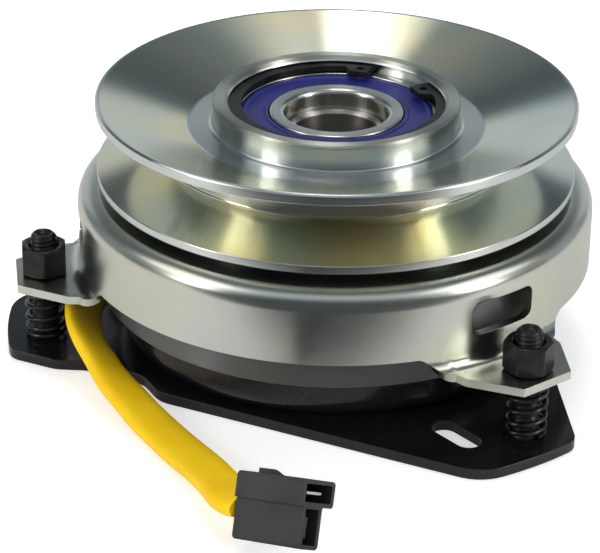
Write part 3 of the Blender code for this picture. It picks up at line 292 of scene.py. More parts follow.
def camera():
    c, s = polar(1.0, CAMERA_ELEVATION)
    forward = Vector((0, c, -s))
    level = Vector((1, 0, 0))
    upward = Vector((0, s, c))
    right = math.cos(CAMERA_ROLL) * level + math.sin(CAMERA_ROLL) * upward
    up = -math.sin(CAMERA_ROLL) * level + math.cos(CAMERA_ROLL) * upward
    across = (AIM_PIXEL[0] - IMAGE_CENTRE[0]) * CAMERA_DISTANCE / FOCAL_PIXELS
    above = (IMAGE_CENTRE[1] - AIM_PIXEL[1]) * CAMERA_DISTANCE / FOCAL_PIXELS
    place = Vector((0, 0, AIM_HEIGHT)) - across * right - above * up - CAMERA_DISTANCE * forward
    data = bpy.data.cameras.new("camera")
    data.sensor_width = 36
    data.lens = FOCAL_PIXELS / IMAGE_WIDTH * data.sensor_width
    data.clip_start = 0.05
    data.clip_end = 20
    obj = placed("camera", data)
    matrix = Matrix((right, up, -forward)).transposed().to_4x4()
    matrix.translation = place
    obj.matrix_world = matrix
    bpy.context.scene.camera = obj


camera()


# Node helpers

class Nodes:
    """Short calls for the nodes of one tree."""

    def __init__(self, tree):
        self.tree = tree

    def feed(self, socket, value):
        """Links a socket to another node's output, or sets it to a constant."""
        if isinstance(value, bpy.types.NodeSocket):
            self.tree.links.new(value, socket)
        elif socket.type == "RGBA":
            socket.default_value = (*value, 1)
        else:
            socket.default_value = value

    def node(self, kind, inputs=None, **settings):
        made = self.tree.nodes.new(kind)
        for key, value in settings.items():
            setattr(made, key, value)
        for key, value in (inputs or {}).items():
            self.feed(made.inputs[key], value)
        return made

    def math(self, operation, a, b=0.0, c=0.0):
        return self.node("ShaderNodeMath", {0: a, 1: b, 2: c}, operation=operation).outputs[0]

    def vector(self, operation, a, b=(0, 0, 0)):
        made = self.node("ShaderNodeVectorMath", {0: a, 1: b}, operation=operation)
        return made.outputs["Value" if operation in ("LENGTH", "DOT_PRODUCT") else "Vector"]

    def ramp(self, value, *stops):
        """Maps a number to a colour. Stops are (place, colour)."""
        made = self.node("ShaderNodeValToRGB", {"Fac": value})
        elements = made.color_ramp.elements
        while len(elements) < len(stops):
            elements.new(0.5)
        for element, (place, colour) in zip(elements, stops):
            element.position = place
            element.color = (*colour, 1)
        return made.outputs["Color"]

    def mix(self, share, a, b):
        return self.node("ShaderNodeMix", {"Factor": share, 6: a, 7: b}, data_type="RGBA").outputs[2]

    def range(self, value, low, high):
        """A number from 0 to 1 spread between low and high."""
        made = self.node("ShaderNodeMapRange", {"Value": value, "To Min": low, "To Max": high})
        return made.outputs["Result"]

    def fade(self, value, low, high):
        """A soft step from 0 at low to 1 at high; low may be the larger."""
        made = self.node("ShaderNodeMapRange", {"Value": value, "From Min": low, "From Max": high},
                         interpolation_type="SMOOTHSTEP")
        return made.outputs["Result"]

    def glow(self, colour, strength):
        made = self.node("ShaderNodeEmission", {"Color": colour, "Strength": strength})
        return made.outputs[0]


class Surface(Nodes):
    """A material built round its Principled shader. Each keyword is one of the shader's sockets."""

    def __init__(self, name, colour, roughness, metallic=0.0, **constants):
        self.material = bpy.data.materials.new(name)
        self.material.use_nodes = True
        self.material.diffuse_color = (*colour, 1)
        super().__init__(self.material.node_tree)
        self.shader = self.tree.nodes["Principled BSDF"]
        self.position = self.node("ShaderNodeTexCoord").outputs["Object"]
        self.put(Base_Color=colour, Roughness=roughness, Metallic=metallic, **constants)

    def put(self, **sockets):
        for key, value in sockets.items():
            self.feed(self.shader.inputs[key.replace("_", " ")], value)

    def noise(self, scale, detail, roughness=0.5, distortion=0.0, at=None):
        settings = {"Vector": at or self.position, "Scale": scale, "Detail": detail,
                    "Roughness": roughness, "Distortion": distortion}
        made = self.node("ShaderNodeTexNoise", settings)
        return made.outputs["Fac"]

    def bump(self, height, strength, distance):
        made = self.node("ShaderNodeBump", {"Strength": strength, "Distance": distance, "Height": height})
        self.put(Normal=made.outputs["Normal"])

    def show(self, output):
        """Sets what the material shows in place of the shader alone."""
        self.feed(self.tree.nodes["Material Output"].inputs["Surface"], output)

    def axis(self):
        """Distance from the shaft axis, and height."""
        flat = self.vector("MULTIPLY", self.position, (1, 1, 0))
        parts = self.node("ShaderNodeSeparateXYZ", {0: self.position})
        return self.vector("LENGTH", flat), parts.outputs["Z"]


# Surfaces

def turned_metal(name, colour, roughness, spacing, rough, marks, metallic=1.0, stretch=0.9):
    """Metal turned about the shaft axis: the tool's fine lines stretch its highlights across them.

    spacing is the lines' own in metres, rough is the range of roughness over them, and marks are
    their bump's strength and depth.
    """
    s = Surface(name, colour, roughness, metallic, Anisotropic=stretch, Anisotropic_Rotation=0.25)
    s.radius, s.height = s.axis()
    packed = s.node("ShaderNodeCombineXYZ", {"X": s.math("DIVIDE", s.radius, spacing),
                                             "Y": s.math("DIVIDE", s.height, spacing)})
    s.lines = s.noise(1.0, 2.0, 0.6, at=packed.outputs[0])
    s.sheen = s.range(s.lines, *rough)
    s.put(Tangent=s.vector("NORMALIZE", s.vector("CROSS_PRODUCT", (0, 0, 1), s.position)),
          Roughness=s.sheen)
    s.bump(s.lines, *marks)
    return s


def zinc_turned():
    """Bright zinc with faint yellow and blue. The collar's top is duller."""
    s = turned_metal("zinc_turned", (0.70, 0.70, 0.67), 0.27, 0.00022, (0.11, 0.24), (0.20, 0.00010),
                     stretch=1.0)
    tint = s.ramp(s.noise(17.0, 2.0), (0.30, (0.66, 0.70, 0.70)), (0.48, (0.71, 0.74, 0.71)),
                  (0.62, (0.74, 0.74, 0.71)), (0.74, (0.68, 0.72, 0.69)))
    collar_top = s.math("MULTIPLY", s.fade(s.height, 0.0742, 0.0746), s.fade(s.radius, 0.0372, 0.0364))
    tint = s.mix(collar_top, tint, (0.55, 0.56, 0.49))
    s.put(Base_Color=s.mix(s.range(s.lines, 0.0, 0.35), tint, (0.50, 0.52, 0.51)),
          Roughness=s.mix(collar_top, s.sheen, s.range(s.lines, 0.30, 0.42)))
    return s.material


def zinc_groove():
    """The flanks of the groove keep more of the yellow passivation."""
    s = turned_metal("zinc_groove", (0.66, 0.63, 0.50), 0.27, 0.00022, (0.09, 0.17), (0.06, 0.00003),
                     stretch=1.0)
    tint = s.ramp(s.noise(22.0, 2.0), (0.30, (0.60, 0.67, 0.64)), (0.46, (0.69, 0.71, 0.60)),
                  (0.60, (0.82, 0.75, 0.53)), (0.74, (0.66, 0.69, 0.58)))
    s.put(Base_Color=s.mix(s.range(s.lines, 0.0, 0.20), tint, (0.46, 0.47, 0.39)))
    return s.material


def zinc_drawn():
    """Satin zinc on drawn sheet: a fine grain, streaks and faint warm patches."""
    s = Surface("zinc_drawn", (0.60, 0.61, 0.56), 0.36, 1.0)
    grain = s.noise(2200.0, 2.0, 0.6)
    streaks = s.noise(420.0, 4.0, 0.65)
    patches = s.noise(26.0, 4.0, 0.55, 0.3)
    tint = s.ramp(patches, (0.32, (0.57, 0.60, 0.57)), (0.50, (0.63, 0.65, 0.595)),
                  (0.62, (0.67, 0.665, 0.555)), (0.75, (0.62, 0.64, 0.58)))
    s.put(Base_Color=s.mix(s.range(streaks, 0.0, 0.22), tint, (0.46, 0.47, 0.44)),
          Roughness=s.range(s.mix(0.2, patches, streaks), 0.15, 0.33))
    s.bump(grain, 0.12, 0.00004)
    return s.material


def bearing_steel():
    s = turned_metal("bearing_steel", (0.72, 0.70, 0.68), 0.16, 0.00016, (0.17, 0.28), (0.06, 0.00002))
    s.put(Base_Color=s.ramp(s.lines, (0.3, (0.60, 0.605, 0.575)), (0.7, (0.72, 0.72, 0.68))))
    return s.material


def hub_steel():
    s = turned_metal("hub_steel", (0.46, 0.44, 0.41), 0.30, 0.0003, (0.22, 0.42), (0.12, 0.00004))
    stain = s.range(s.noise(60.0, 3.0), 0.0, 0.5)
    s.put(Base_Color=s.mix(stain, (0.52, 0.50, 0.47), (0.34, 0.31, 0.27)))
    return s.material


def rotor_iron():
    s = turned_metal("rotor_iron", (0.20, 0.20, 0.195), 0.38, 0.0004, (0.28, 0.46), (0.12, 0.00005),
                     metallic=0.9)
    stain = s.range(s.noise(40.0, 4.0), 0.0, 0.7)
    s.put(Base_Color=s.mix(stain, (0.196, 0.200, 0.198), (0.092, 0.092, 0.090)))
    return s.material


def black_paint():
    """Gloss black paint with a faint orange peel and a little dust."""
    black = (0.006, 0.006, 0.0065)
    s = Surface("black_paint", black, 0.16, Specular_IOR_Level=0.35, Coat_Weight=0.35, Coat_Roughness=0.08)
    flecks = s.ramp(s.noise(1500.0, 1.0), (0.66, (0, 0, 0)), (0.74, (1, 1, 1)))
    s.put(Base_Color=s.mix(s.math("MULTIPLY", flecks, 0.25), black, (0.10, 0.10, 0.095)),
          Roughness=s.range(s.noise(35.0, 4.0), 0.10, 0.30))
    s.bump(s.noise(420.0, 2.0), 0.10, 0.00008)
    return s.material


def black_oxide():
    s = Surface("black_oxide", (0.028, 0.028, 0.028), 0.32, 0.55)
    fine = s.noise(1300.0, 3.0)
    s.put(Base_Color=s.ramp(s.noise(160.0, 3.0), (0.35, (0.010, 0.010, 0.010)), (0.66, (0.026, 0.026, 0.025)),
                            (0.76, (0.14, 0.13, 0.12))),
          Roughness=s.range(fine, 0.20, 0.42))
    s.bump(fine, 0.14, 0.00005)
    return s.material


def cloudy(name, colour, roughness, metallic, cloud, dark, light, rough, grain, marks, **constants):
    """Cloudy colour and sheen over a fine grain.

    cloud and grain are the scale and detail of their noise, dark and light are stops of the colour
    ramp, rough is the range of roughness, and marks are the grain's strength and depth.
    """
    s = Surface(name, colour, roughness, metallic, **constants)
    clouds = s.noise(*cloud)
    s.put(Base_Color=s.ramp(clouds, dark, light), Roughness=s.range(clouds, *rough))
    s.bump(s.noise(*grain), *marks)
    return s.material


def plain(name, colour, roughness, metallic, scale, spread):
    """A quiet surface for the small and inner pieces. spread is how far its colour varies."""
    dark = tuple(c * (1 - spread) for c in colour)
    light = tuple(min(1.0, c * (1 + spread)) for c in colour)
    return cloudy(name, colour, roughness, metallic, (scale, 4.0), (0.3, dark), (0.7, light),
                  (roughness * 0.8, min(1.0, roughness * 1.25)), (scale * 12, 2.0), (0.15, 0.00006))


def yellow_sleeve():
    """Soft vinyl sleeve with faint scuffs."""
    s = Surface("yellow_sleeve", (0.86, 0.55, 0.012), 0.42, Specular_IOR_Level=0.2)
    cloud = s.noise(70.0, 4.0, 0.6)
    scuff = s.ramp(s.noise(260.0, 4.0, 0.7), (0.62, (0, 0, 0)), (0.76, (1, 1, 1)))
    base = s.ramp(cloud, (0.30, (0.84, 0.52, 0.006)), (0.60, (0.90, 0.60, 0.010)))
    s.put(Base_Color=s.mix(s.math("MULTIPLY", scuff, 0.25), base, (0.66, 0.44, 0.04)),
          Roughness=s.range(cloud, 0.34, 0.52))
    s.bump(s.noise(700.0, 3.0), 0.15, 0.00008)
    return s.material


def copper_wire():
    """Enamelled wire wound in even layers."""
    s = Surface("copper_wire", (0.62, 0.27, 0.12), 0.30, 1.0)
    waves = [s.math("SINE", s.math("MULTIPLY", way, math.tau / 0.0008)) for way in s.axis()]
    s.put(Base_Color=s.ramp(s.noise(50.0, 3.0), (0.3, (0.52, 0.21, 0.09)), (0.7, (0.70, 0.33, 0.15))))
    s.bump(s.math("MULTIPLY", *waves), 0.6, 0.0002)
    return s.material


def in_slot(material):
    """Hands the surface back unchanged."""
    return material


ZINC = in_slot(zinc_turned())
GROOVE_ZINC = zinc_groove()
CUP_ZINC = in_slot(zinc_drawn())
STEEL = in_slot(bearing_steel())
HUB = in_slot(hub_steel())
IRON = in_slot(rotor_iron())
PAINT = in_slot(black_paint())
OXIDE = in_slot(black_oxide())
SPRING = in_slot(cloudy(
    "spring_steel", (0.045, 0.042, 0.038), 0.24, 0.9, (300.0, 3.0), (0.35, (0.022, 0.021, 0.020)),
    (0.70, (0.085, 0.078, 0.068)), (0.14, 0.32), (1800.0, 2.0), (0.10, 0.00003)))
# Phosphated retaining ring, nearly black
RING = in_slot(cloudy(
    "ring_steel", (0.020, 0.020, 0.020), 0.35, 0.7, (220.0, 3.0), (0.35, (0.012, 0.012, 0.012)),
    (0.75, (0.045, 0.043, 0.040)), (0.26, 0.48), (1500.0, 2.0), (0.12, 0.00004)))
SEAL = in_slot(cloudy(
    "blue_seal", (0.017, 0.016, 0.15), 0.34, 0.0, (90.0, 4.0), (0.3, (0.010, 0.012, 0.105)),
    (0.7, (0.018, 0.021, 0.17)), (0.26, 0.46), (900.0, 2.0), (0.10, 0.00004)))
PLASTIC = in_slot(cloudy(
    "plug_plastic", (0.030, 0.032, 0.032), 0.46, 0.0, (120.0, 3.0), (0.3, (0.025, 0.027, 0.027)),
    (0.7, (0.036, 0.038, 0.038)), (0.40, 0.55), (1700.0, 2.0), (0.20, 0.00005), Specular_IOR_Level=0.4))
YELLOW = in_slot(yellow_sleeve())
TIN = in_slot(plain("tin", (0.70, 0.69, 0.66), 0.28, 1.0, 120.0, 0.08))
# The same tin as the level contact, darkened as painted shade for the upright contact in its bay
SHADED_TIN = in_slot(plain("tin_painted_shade", (0.10, 0.10, 0.095), 0.40, 1.0, 120.0, 0.3))
LINING = in_slot(plain("friction_lining", (0.13, 0.11, 0.085), 0.85, 0.0, 500.0, 0.4))
RUBBER = in_slot(plain("grommet_rubber", (0.02, 0.02, 0.02), 0.6, 0.0, 300.0, 0.3))
NYLON = plain("nylon", (0.72, 0.70, 0.62), 0.50, 0.0, 60.0, 0.05)
RESIN = plain("resin", (0.015, 0.015, 0.016), 0.35, 0.0, 60.0, 0.3)
COPPER = copper_wire()


# Lead: its route is part.py's, and its flat sleeve turns about it on the way down

SHELL_RADIUS = 64.3
LEAD_ROUTE = [            # past the shell's wall, degrees round the axis, height
    (3.7, 167.4, 10.5), (5.4, 171.4, 10.6), (6.9, 175.5, 10.8), (8.5, 179.8, 11.2), (9.7, 184.3, 11.5),
    (10.8, 188.7, 11.5), (11.8, 194.0, 11.1), (12.5, 199.1, 10.5), (12.8, 203.9, 9.6), (12.9, 208.8, 8.5),
    (13.5, 213.5, 7.3), (14.2, 217.9, 6.1), (14.9, 222.4, 5.0), (16.4, 227.2, 4.0), (18.6, 232.1, 3.3),
    (21.6, 237.2, 3.0), (26.5, 242.9, 3.3), (32.5, 248.0, 4.3), (39.3, 251.8, 5.7), (45.2, 254.2, 7.1),
    (49.8, 255.8, 8.1), (52.8, 257.2, 9.0), (54.3, 258.4, 9.8),
]
SLEEVE_WIDTH = 12.0
SLEEVE_THICKNESS = 4.4
ROUND_EDGE = 0.62         # 1 makes the sleeve's section an ellipse, and less makes it squarer
# Share of the way down, and how far the wide side leans from level, in degrees
SLEEVE_LEAN = [(0.0, -40), (0.18, -36), (0.28, -33), (0.38, -26), (0.50, -8), (0.62, 0), (0.75, 4),
               (0.88, 4), (1.0, 8)]
CURVE_FILL = 12           # points between two stations of the route, before they are evened out
PLUG_TURN = Euler((math.radians(-27.5), math.radians(-16.0), math.radians(-40.6)))


def past_shell(distance, degrees, height):
    return Vector((*polar(SHELL_RADIUS + distance, math.radians(degrees)), height))


ROUTE = [past_shell(*point) for point in LEAD_ROUTE]
PLUG_CORNER = past_shell(53.8, 257.5, 18.87)


def path_length(path):
    return sum((b - a).length for a, b in zip(path, path[1:]))


def smooth_path(points, spacing):
    """A Catmull-Rom curve through the points, read at even steps."""
    dense = []
    padded = [points[0], *points, points[-1]]
    for before, here, there, after in zip(padded, padded[1:], padded[2:], padded[3:]):
        for k in range(CURVE_FILL):
            t = k / CURVE_FILL
            dense.append(0.5 * (2 * here + (there - before) * t
                                + (2 * before - 5 * here + 4 * there - after) * t ** 2
                                + (3 * here - before - 3 * there + after) * t ** 3))
    dense.append(points[-1])
    total = path_length(dense)
    count = max(2, round(total / spacing))
    step = total / count
    path = [dense[0]]
    travelled = 0.0
    for a, b in zip(dense, dense[1:]):
        travelled += (b - a).length
        if travelled >= step * len(path) and len(path) < count:
            path.append(b)
    path.append(dense[-1])
    return path


def between(table, x):
    """Reads a table of (place, value) with an eased step between entries."""
    for (x0, y0), (x1, y1) in zip(table, table[1:]):
        if x <= x1:
            return y0 + (y1 - y0) * eased((x - x0) / (x1 - x0))
    return table[-1][1]


def sleeve_across(direction, point, share):
    """The way that the sleeve's wide side points."""
    level = Vector((-direction.y, direction.x, 0)).normalized()
    over = direction.cross(level).normalized()
    lean = math.radians(between(SLEEVE_LEAN, share))
    return level * math.cos(lean) + over * math.sin(lean)


def lead():
    path = smooth_path(ROUTE, 1.0)
    # A flat oval: round edges and slightly crowned faces
    section = [(SLEEVE_WIDTH / 2 * math.copysign(abs(x) ** ROUND_EDGE, x),
                SLEEVE_THICKNESS / 2 * math.copysign(abs(y) ** ROUND_EDGE, y))
               for x, y in circle((0, 0), 1.0, 40)]
    bm = bmesh.new()
    add_swept(bm, path, section, sleeve_across)
    return piece("lead_sleeve", bm, YELLOW, "field", "lead", 60), path


sleeve, lead_path = lead()
# The photo shows no yellow mirrored in the brake plate
sleeve.visible_glossy = False


# Turned pieces, top to bottom

RIVET_CIRCLE = 43.5
RIVET_TURN = math.radians(29)      # from a lobe on to its pulley rivet, and back to its armature rivet
RIVET_HOLE = 2.2
GROOVE_RADII = (51.5, 69.4)
GROOVE_HEIGHTS = (55.5, 73.0)


def pulley():
    """V pulley: groove, dished face, collar with its ring groove, boss, and pads for the leaf springs."""
    profile = [
        (28.0, 48.2), (56.5, 48.2, 0.6), (56.5, 52.5, 0.8), (69.6, 52.5, 0.5), (70.0, 53.0, 0.3),
        (70.0, 55.1, 0.35), (52.0, 60.95, 1.2), (52.0, 67.35, 1.2), (70.0, 73.2, 0.35), (70.0, 75.7, 0.35),
        (69.5, 76.2, 0.3), (68.7, 76.1, 0.4), (43.4, 67.45, 1.5), (42.8, 67.4, 0.3), (37.2, 67.4, 0.6),
        (36.0, 67.9, 1.0), (36.0, 74.8, 0.2), (35.5, 75.4, 0.2), (32.7, 75.4, 0.2), (31.3, 73.7, 0.2),
        (33.3, 73.65, 0.1), (33.3, 71.25, 0.1), (31.3, 71.25, 0.1), (31.3, 54.95, 0.2), (28.0, 54.95, 0.3),
    ]
    obj = turned("pulley_turned", profile, ZINC, "pulley", "pulley")
    spots = [polar(RIVET_CIRCLE, angle + RIVET_TURN) for angle in LOBE_ANGLES]
    cut_prisms(obj, [circle(spot, 4.25, 48) for spot in spots], 46.2, 50.0, "UNION")
    cut_prisms(obj, [circle(spot, RIVET_HOLE, 32) for spot in spots], 45.9, 48.7)
    obj.data.materials.append(GROOVE_ZINC)
    for face in obj.data.polygons:
        x, y, z = face.center / MM
        if (GROOVE_RADII[0] < math.hypot(x, y) < GROOVE_RADII[1]
                and GROOVE_HEIGHTS[0] < z < GROOVE_HEIGHTS[1]):
            face.material_index = 1


RING_RADIUS = 33.0
RING_MIDDLE = math.radians(50)     # where its gap faces
RING_GAP = math.radians(37)
RING_LUG = 7.5
RING_LUG_SWEEP = math.radians(13)


def snap_ring():
    """Internal retaining ring: thickest opposite its gap, with a lug and an eye at each end."""
    start = RING_MIDDLE + RING_GAP / 2
    end = start + math.tau - RING_GAP
    lugs = (start + RING_LUG_SWEEP, end - RING_LUG_SWEEP)
    outline = arc((0, 0), RING_RADIUS, start, end, 120)
    outline += arc((0, 0), RING_RADIUS - RING_LUG, end, lugs[1], 8)
    steps = 109      # along the inner edge
    for i in range(1, steps):
        u = i / steps
        depth = 3.8 + 1.7 * math.sin(math.pi * u)
        outline.append(polar(RING_RADIUS - depth, lugs[1] - (lugs[1] - lugs[0]) * u))
    outline += arc((0, 0), RING_RADIUS - RING_LUG, lugs[0], start, 8)
    bm = bmesh.new()
    add_prism(bm, outline, 71.55, 73.35)
    obj = piece("snap_ring_blanked", bm, RING, "pulley", "snap_ring")
    eye_circle = RING_RADIUS - RING_LUG * 0.62
    eyes = [circle(polar(eye_circle, angle), 1.2, 32)
            for angle in (start + RING_LUG_SWEEP / 2, end - RING_LUG_SWEEP / 2)]
    cut_prisms(obj, eyes, 71, 74)
    soften(obj, 0.15)


BALLS = 9


def bearing(prefix, bore, radius, width, bottom, ball, outer_body, inner_body, cage_body):
    """Sealed ball bearing: rings with rounded edges, seals with a lip and a rib, balls in a cage."""
    middle = bottom + width / 2
    top = bottom + width
    pitch = (bore + radius) / 2
    groove = ball + GAP
    shoulder = ball * 0.8
    inner_land = pitch - ball * 0.76
    outer_land = pitch + ball * 0.76
    seal_seat = outer_land + (radius - outer_land) * 0.35
    seal_depth = width * 0.14
    race = []
    for i in range(9):
        z = -shoulder + 2 * shoulder * i / 8
        race.append((math.sqrt(groove ** 2 - z ** 2), z))
    outer = [(radius, bottom, 0.8), (radius, top, 0.8), (seal_seat, top, 0.3),
             (seal_seat, top - seal_depth, 0), (outer_land, top - seal_depth, 0.2)]
    outer += [(pitch + r, middle + z, 0) for r, z in race[::-1]]
    outer += [(outer_land, bottom + seal_depth, 0.2), (seal_seat, bottom + seal_depth, 0),
              (seal_seat, bottom, 0.3)]
    turned(f"{prefix}_outer_ground", outer, STEEL, outer_body, f"{prefix}_outer_ring")
    inner = [(bore, bottom, 1.4), (inner_land, bottom, 0.4)]
    inner += [(pitch - r, middle + z, 0) for r, z in race]
    inner += [(inner_land, top, 0.5), (bore, top, 1.4)]
    turned(f"{prefix}_inner_ground", inner, STEEL, inner_body, f"{prefix}_inner_ring", steps=4)
    lip = inner_land + GAP
    rim = seal_seat - GAP
    for word, face, into in (("upper", top, -1), ("lower", bottom, 1)):
        outside = face + into * seal_depth * 0.2
        inside = face + into * (seal_depth - GAP)
        dish = outside + into * 0.35
        # A raised rim at each edge, with the dished face of the seal between them
        seal = [(lip, outside, 0.25), (lip + 1.0, outside, 0.2), (lip + 1.35, dish, 0.3),
                (rim - 1.3, dish, 0.3), (rim - 0.95, outside, 0.2), (rim, outside, 0.25),
                (rim, inside, 0.1), (lip, inside, 0.1)]
        turned(f"{prefix}_{word}_moulded_seal", seal, SEAL, outer_body, f"{prefix}_{word}_seal")
    bm = bmesh.new()
    wall = ball * 0.15
    half = ball * 0.3
    band = rectangle(pitch - wall, pitch + wall, middle - half, middle + half)
    add_turned(bm, rounded(band, 0.2), 144)
    cage = piece(f"{prefix}_cage_and_balls", bm, STEEL, cage_body, f"{prefix}_balls_and_cage")
    balls = bmesh.new()
    for i in range(BALLS):
        spot = Matrix.Translation((*polar(pitch, math.tau * (i + 0.5) / BALLS), middle))
        bmesh.ops.create_uvsphere(balls, u_segments=32, v_segments=16, radius=ball, matrix=spot)
    cut(cage, solid("balls", balls), "UNION")


KEY_ANGLE = math.radians(-80)
KEY_WIDTH = 6.35
KEY_DEPTH = 14.3                   # from the axis


def rotor_hub():
    profile = [
        (13.6, 1.5, 0.2), (18.9, 1.5, 0.3), (19.7, 2.3, 0.3), (19.7, 23.6, 0.2), (24.0, 23.6, 0.4),
        (24.0, 32.0, 0.4), (21.7, 32.0, 0.2), (21.7, 39.3, 0.4), (19.0, 39.3, 0.6), (19.0, 54.95, 0.4),
        (14.7, 54.95, 0.2), (14.7, 65.2, 0.2), (14.3, 65.6, 0.2), (13.6, 65.6, 0.2), (12.7, 64.7, 0.2),
        (12.7, 2.4, 0.2),
    ]
    obj = turned("hub_turned", profile, HUB, "rotor", "rotor_hub")
    key = rectangle(0, KEY_DEPTH, -KEY_WIDTH / 2, KEY_WIDTH / 2)
    c, s = polar(1.0, KEY_ANGLE)
    cut_prisms(obj, [[(x * c - y * s, x * s + y * c) for x, y in key]], 0, 68)


FLUX_SLOT = 3.2


def rotor_disc():
    profile = [
        (22.0, 32.3, 0.3), (65.1, 32.3, 1.0), (65.1, 17.5, 0.3), (69.5, 17.5, 0.4), (69.5, 38.5, 0.3),
        (68.7, 39.3, 0.3), (22.0, 39.3, 0.3),
    ]
    obj = turned("rotor_turned", profile, IRON, "rotor", "rotor_disc")
    slots = [arc_slot(radius, FLUX_SLOT, math.tau / 4 * (i + row / 2), math.radians(72), 40, 12)
             for row, radius in enumerate((45.5, 58.5)) for i in range(4)]
    cut_prisms(obj, slots, 32.0, 39.6)


def armature():
    profile = [(34.0, 40.0), (69.5, 40.0, 0.4), (69.5, 44.8, 0.5), (34.0, 44.8)]
    obj = turned("armature_ground", profile, IRON, "armature", "armature")
    holes = []
    for angle in LOBE_ANGLES:
        holes += [arc_slot(52.0, FLUX_SLOT, angle, math.radians(94), 56, 12),
                  circle(polar(RIVET_CIRCLE, angle - RIVET_TURN), RIVET_HOLE, 32),
                  circle(polar(RIVET_CIRCLE, angle + RIVET_TURN), 4.3, 32)]
    cut_prisms(obj, holes, 39.7, 45.1)


def field_shell():
    profile = [
        (31.0, 3.5, 0.4), (64.3, 3.5, 7.0), (64.3, 31.0, 0.6), (59.3, 31.0, 0.6), (59.3, 8.0, 0.8),
        (38.8, 8.0, 0.8), (38.8, 31.0, 0.5), (34.3, 31.0, 0.5), (34.3, 8.0, 0.2), (31.0, 8.0, 0.3),
    ]
    turned("shell_painted", profile, PAINT, "field", "field_shell", steps=8)


pulley()
snap_ring()
bearing("pulley_bearing", 15.0, 31.0, 16.0, 55.25, 4.5, "pulley", "rotor", "pulley_cage")
bearing("field_bearing", 20.0, 34.0, 15.0, 8.3, 4.0, "field", "rotor", "field_cage")
rotor_hub()
rotor_disc()
armature()
field_shell()


# Brake plate: one sheet, drawn into a cup and trimmed into three ears

CUP_RADIUS = 75.8
CUP_OPENING = 60.0
CUP_HEIGHT = 28.6
CUP_SHOULDER = 5.5
CUP_WALL_END = 6.8
EAR_END = 94.5
EAR_TIP_HALF = 8.6
EAR_ROOT_HALF = 20.5
EAR_BEND = 4.5
EAR_BLEND = math.radians(20.5)
WINDOW_HALF_WIDTH = 10.75
WINDOW_HALF_HEIGHT = 4.95
WINDOW_MIDDLE = 37.2
WINDOW_CORNER = 2.8
STUD_HOLE = 4.27
STUD_MARGIN = STUD_HOLE + 2.2

# Radii and heights of the sheet's middle
MID_WALL = CUP_RADIUS - SHEET / 2
MID_TOP = CUP_TOP - SHEET / 2
MID_SHOULDER = CUP_SHOULDER - SHEET / 2
MID_LEVEL = MID_WALL + EAR_BEND
BEND_TOP = CUP_TOP - CUP_HEIGHT + SHEET / 2 + EAR_BEND

# Distances along it from the flange's edge, where each part starts
SHOULDER_START = MID_WALL - MID_SHOULDER - CUP_OPENING
WALL_START = SHOULDER_START + MID_SHOULDER * QUARTER
BEND_START = WALL_START + MID_TOP - MID_SHOULDER - BEND_TOP
EAR_START = BEND_START + EAR_BEND * QUARTER
WINDOW_PLACE = WALL_START + MID_TOP - MID_SHOULDER - WINDOW_MIDDLE
FRAME_HALF = WINDOW_HALF_HEIGHT + 1.6
FRAME_START = WINDOW_PLACE - FRAME_HALF
FRAME_END = WINDOW_PLACE + FRAME_HALF

# Angles from an ear's middle
TIP_ANGLE = math.atan2(EAR_TIP_HALF, EAR_END)
FRAME_ANGLE = (WINDOW_HALF_WIDTH + 1.8) / CUP_RADIUS
HOLE_ANGLE = STUD_MARGIN / STUD_CIRCLE


def sheet_point(distance):
    """Radius, height and outward direction of the sheet's middle, so far from the flange's edge."""
    if distance <= SHOULDER_START:
        return CUP_OPENING + distance, MID_TOP, 0.0, 1.0
    if distance <= WALL_START:
        c, s = polar(1.0, QUARTER - (distance - SHOULDER_START) / MID_SHOULDER)
        return MID_WALL - MID_SHOULDER * (1 - c), MID_TOP - MID_SHOULDER * (1 - s), c, s
    if distance <= BEND_START:
        return MID_WALL, BEND_TOP + BEND_START - distance, 1.0, 0.0
    if distance <= EAR_START:
        c, s = polar(1.0, (distance - BEND_START) / EAR_BEND)
        return MID_WALL + EAR_BEND * (1 - c), BEND_TOP - EAR_BEND * s, c, s
    return MID_LEVEL + distance - EAR_START, BEND_TOP - EAR_BEND, 0.0, 1.0


def sheet_end(offset):
    """Where the blank is trimmed, at an angle from the nearest ear's middle."""
    rim = BEND_START - (CUP_WALL_END - SHEET / 2 - EAR_BEND)
    taper = (EAR_ROOT_HALF - EAR_TIP_HALF) / (EAR_END - CUP_RADIUS)
    root = math.atan2(EAR_TIP_HALF + taper * (EAR_END - MID_LEVEL), MID_LEVEL)
    offset = abs(offset)
    if offset <= TIP_ANGLE:
        return EAR_START + EAR_END / math.cos(offset) - MID_LEVEL
    if offset <= root:
        reach = (EAR_TIP_HALF + taper * EAR_END) / (math.sin(offset) + taper * math.cos(offset))
        return EAR_START + reach - MID_LEVEL
    if offset < EAR_BLEND:
        return EAR_START + (rim - EAR_START) * eased((offset - root) / (EAR_BLEND - root))
    return rim


def spread(marks, step):
    """Places through all the marks, evenly filled in at most one step apart."""
    places = [marks[0]]
    for low, high in zip(marks, marks[1:]):
        count = max(1, math.ceil((high - low) / step - 1e-6))
        places += [low + (high - low) * i / count for i in range(1, count + 1)]
    return places


def nearest(values, goal, start=0):
    return min(range(start, len(values)), key=lambda i: abs(values[i] - goal))


# The grid over the sheet: columns at angles from each ear's middle, rows at distances down the sheet
HALF_COLUMNS = spread([0, HOLE_ANGLE, TIP_ANGLE, FRAME_ANGLE, EAR_BLEND, math.pi / LOBES], math.radians(0.95))
COLUMNS = [-angle for angle in reversed(HALF_COLUMNS[1:-1])] + HALF_COLUMNS
FIXED_ROWS = spread([0, SHOULDER_START, WALL_START, FRAME_START, FRAME_END], 1.0)
LOWER_ROWS = 34
ROWS = range(len(FIXED_ROWS) + LOWER_ROWS)


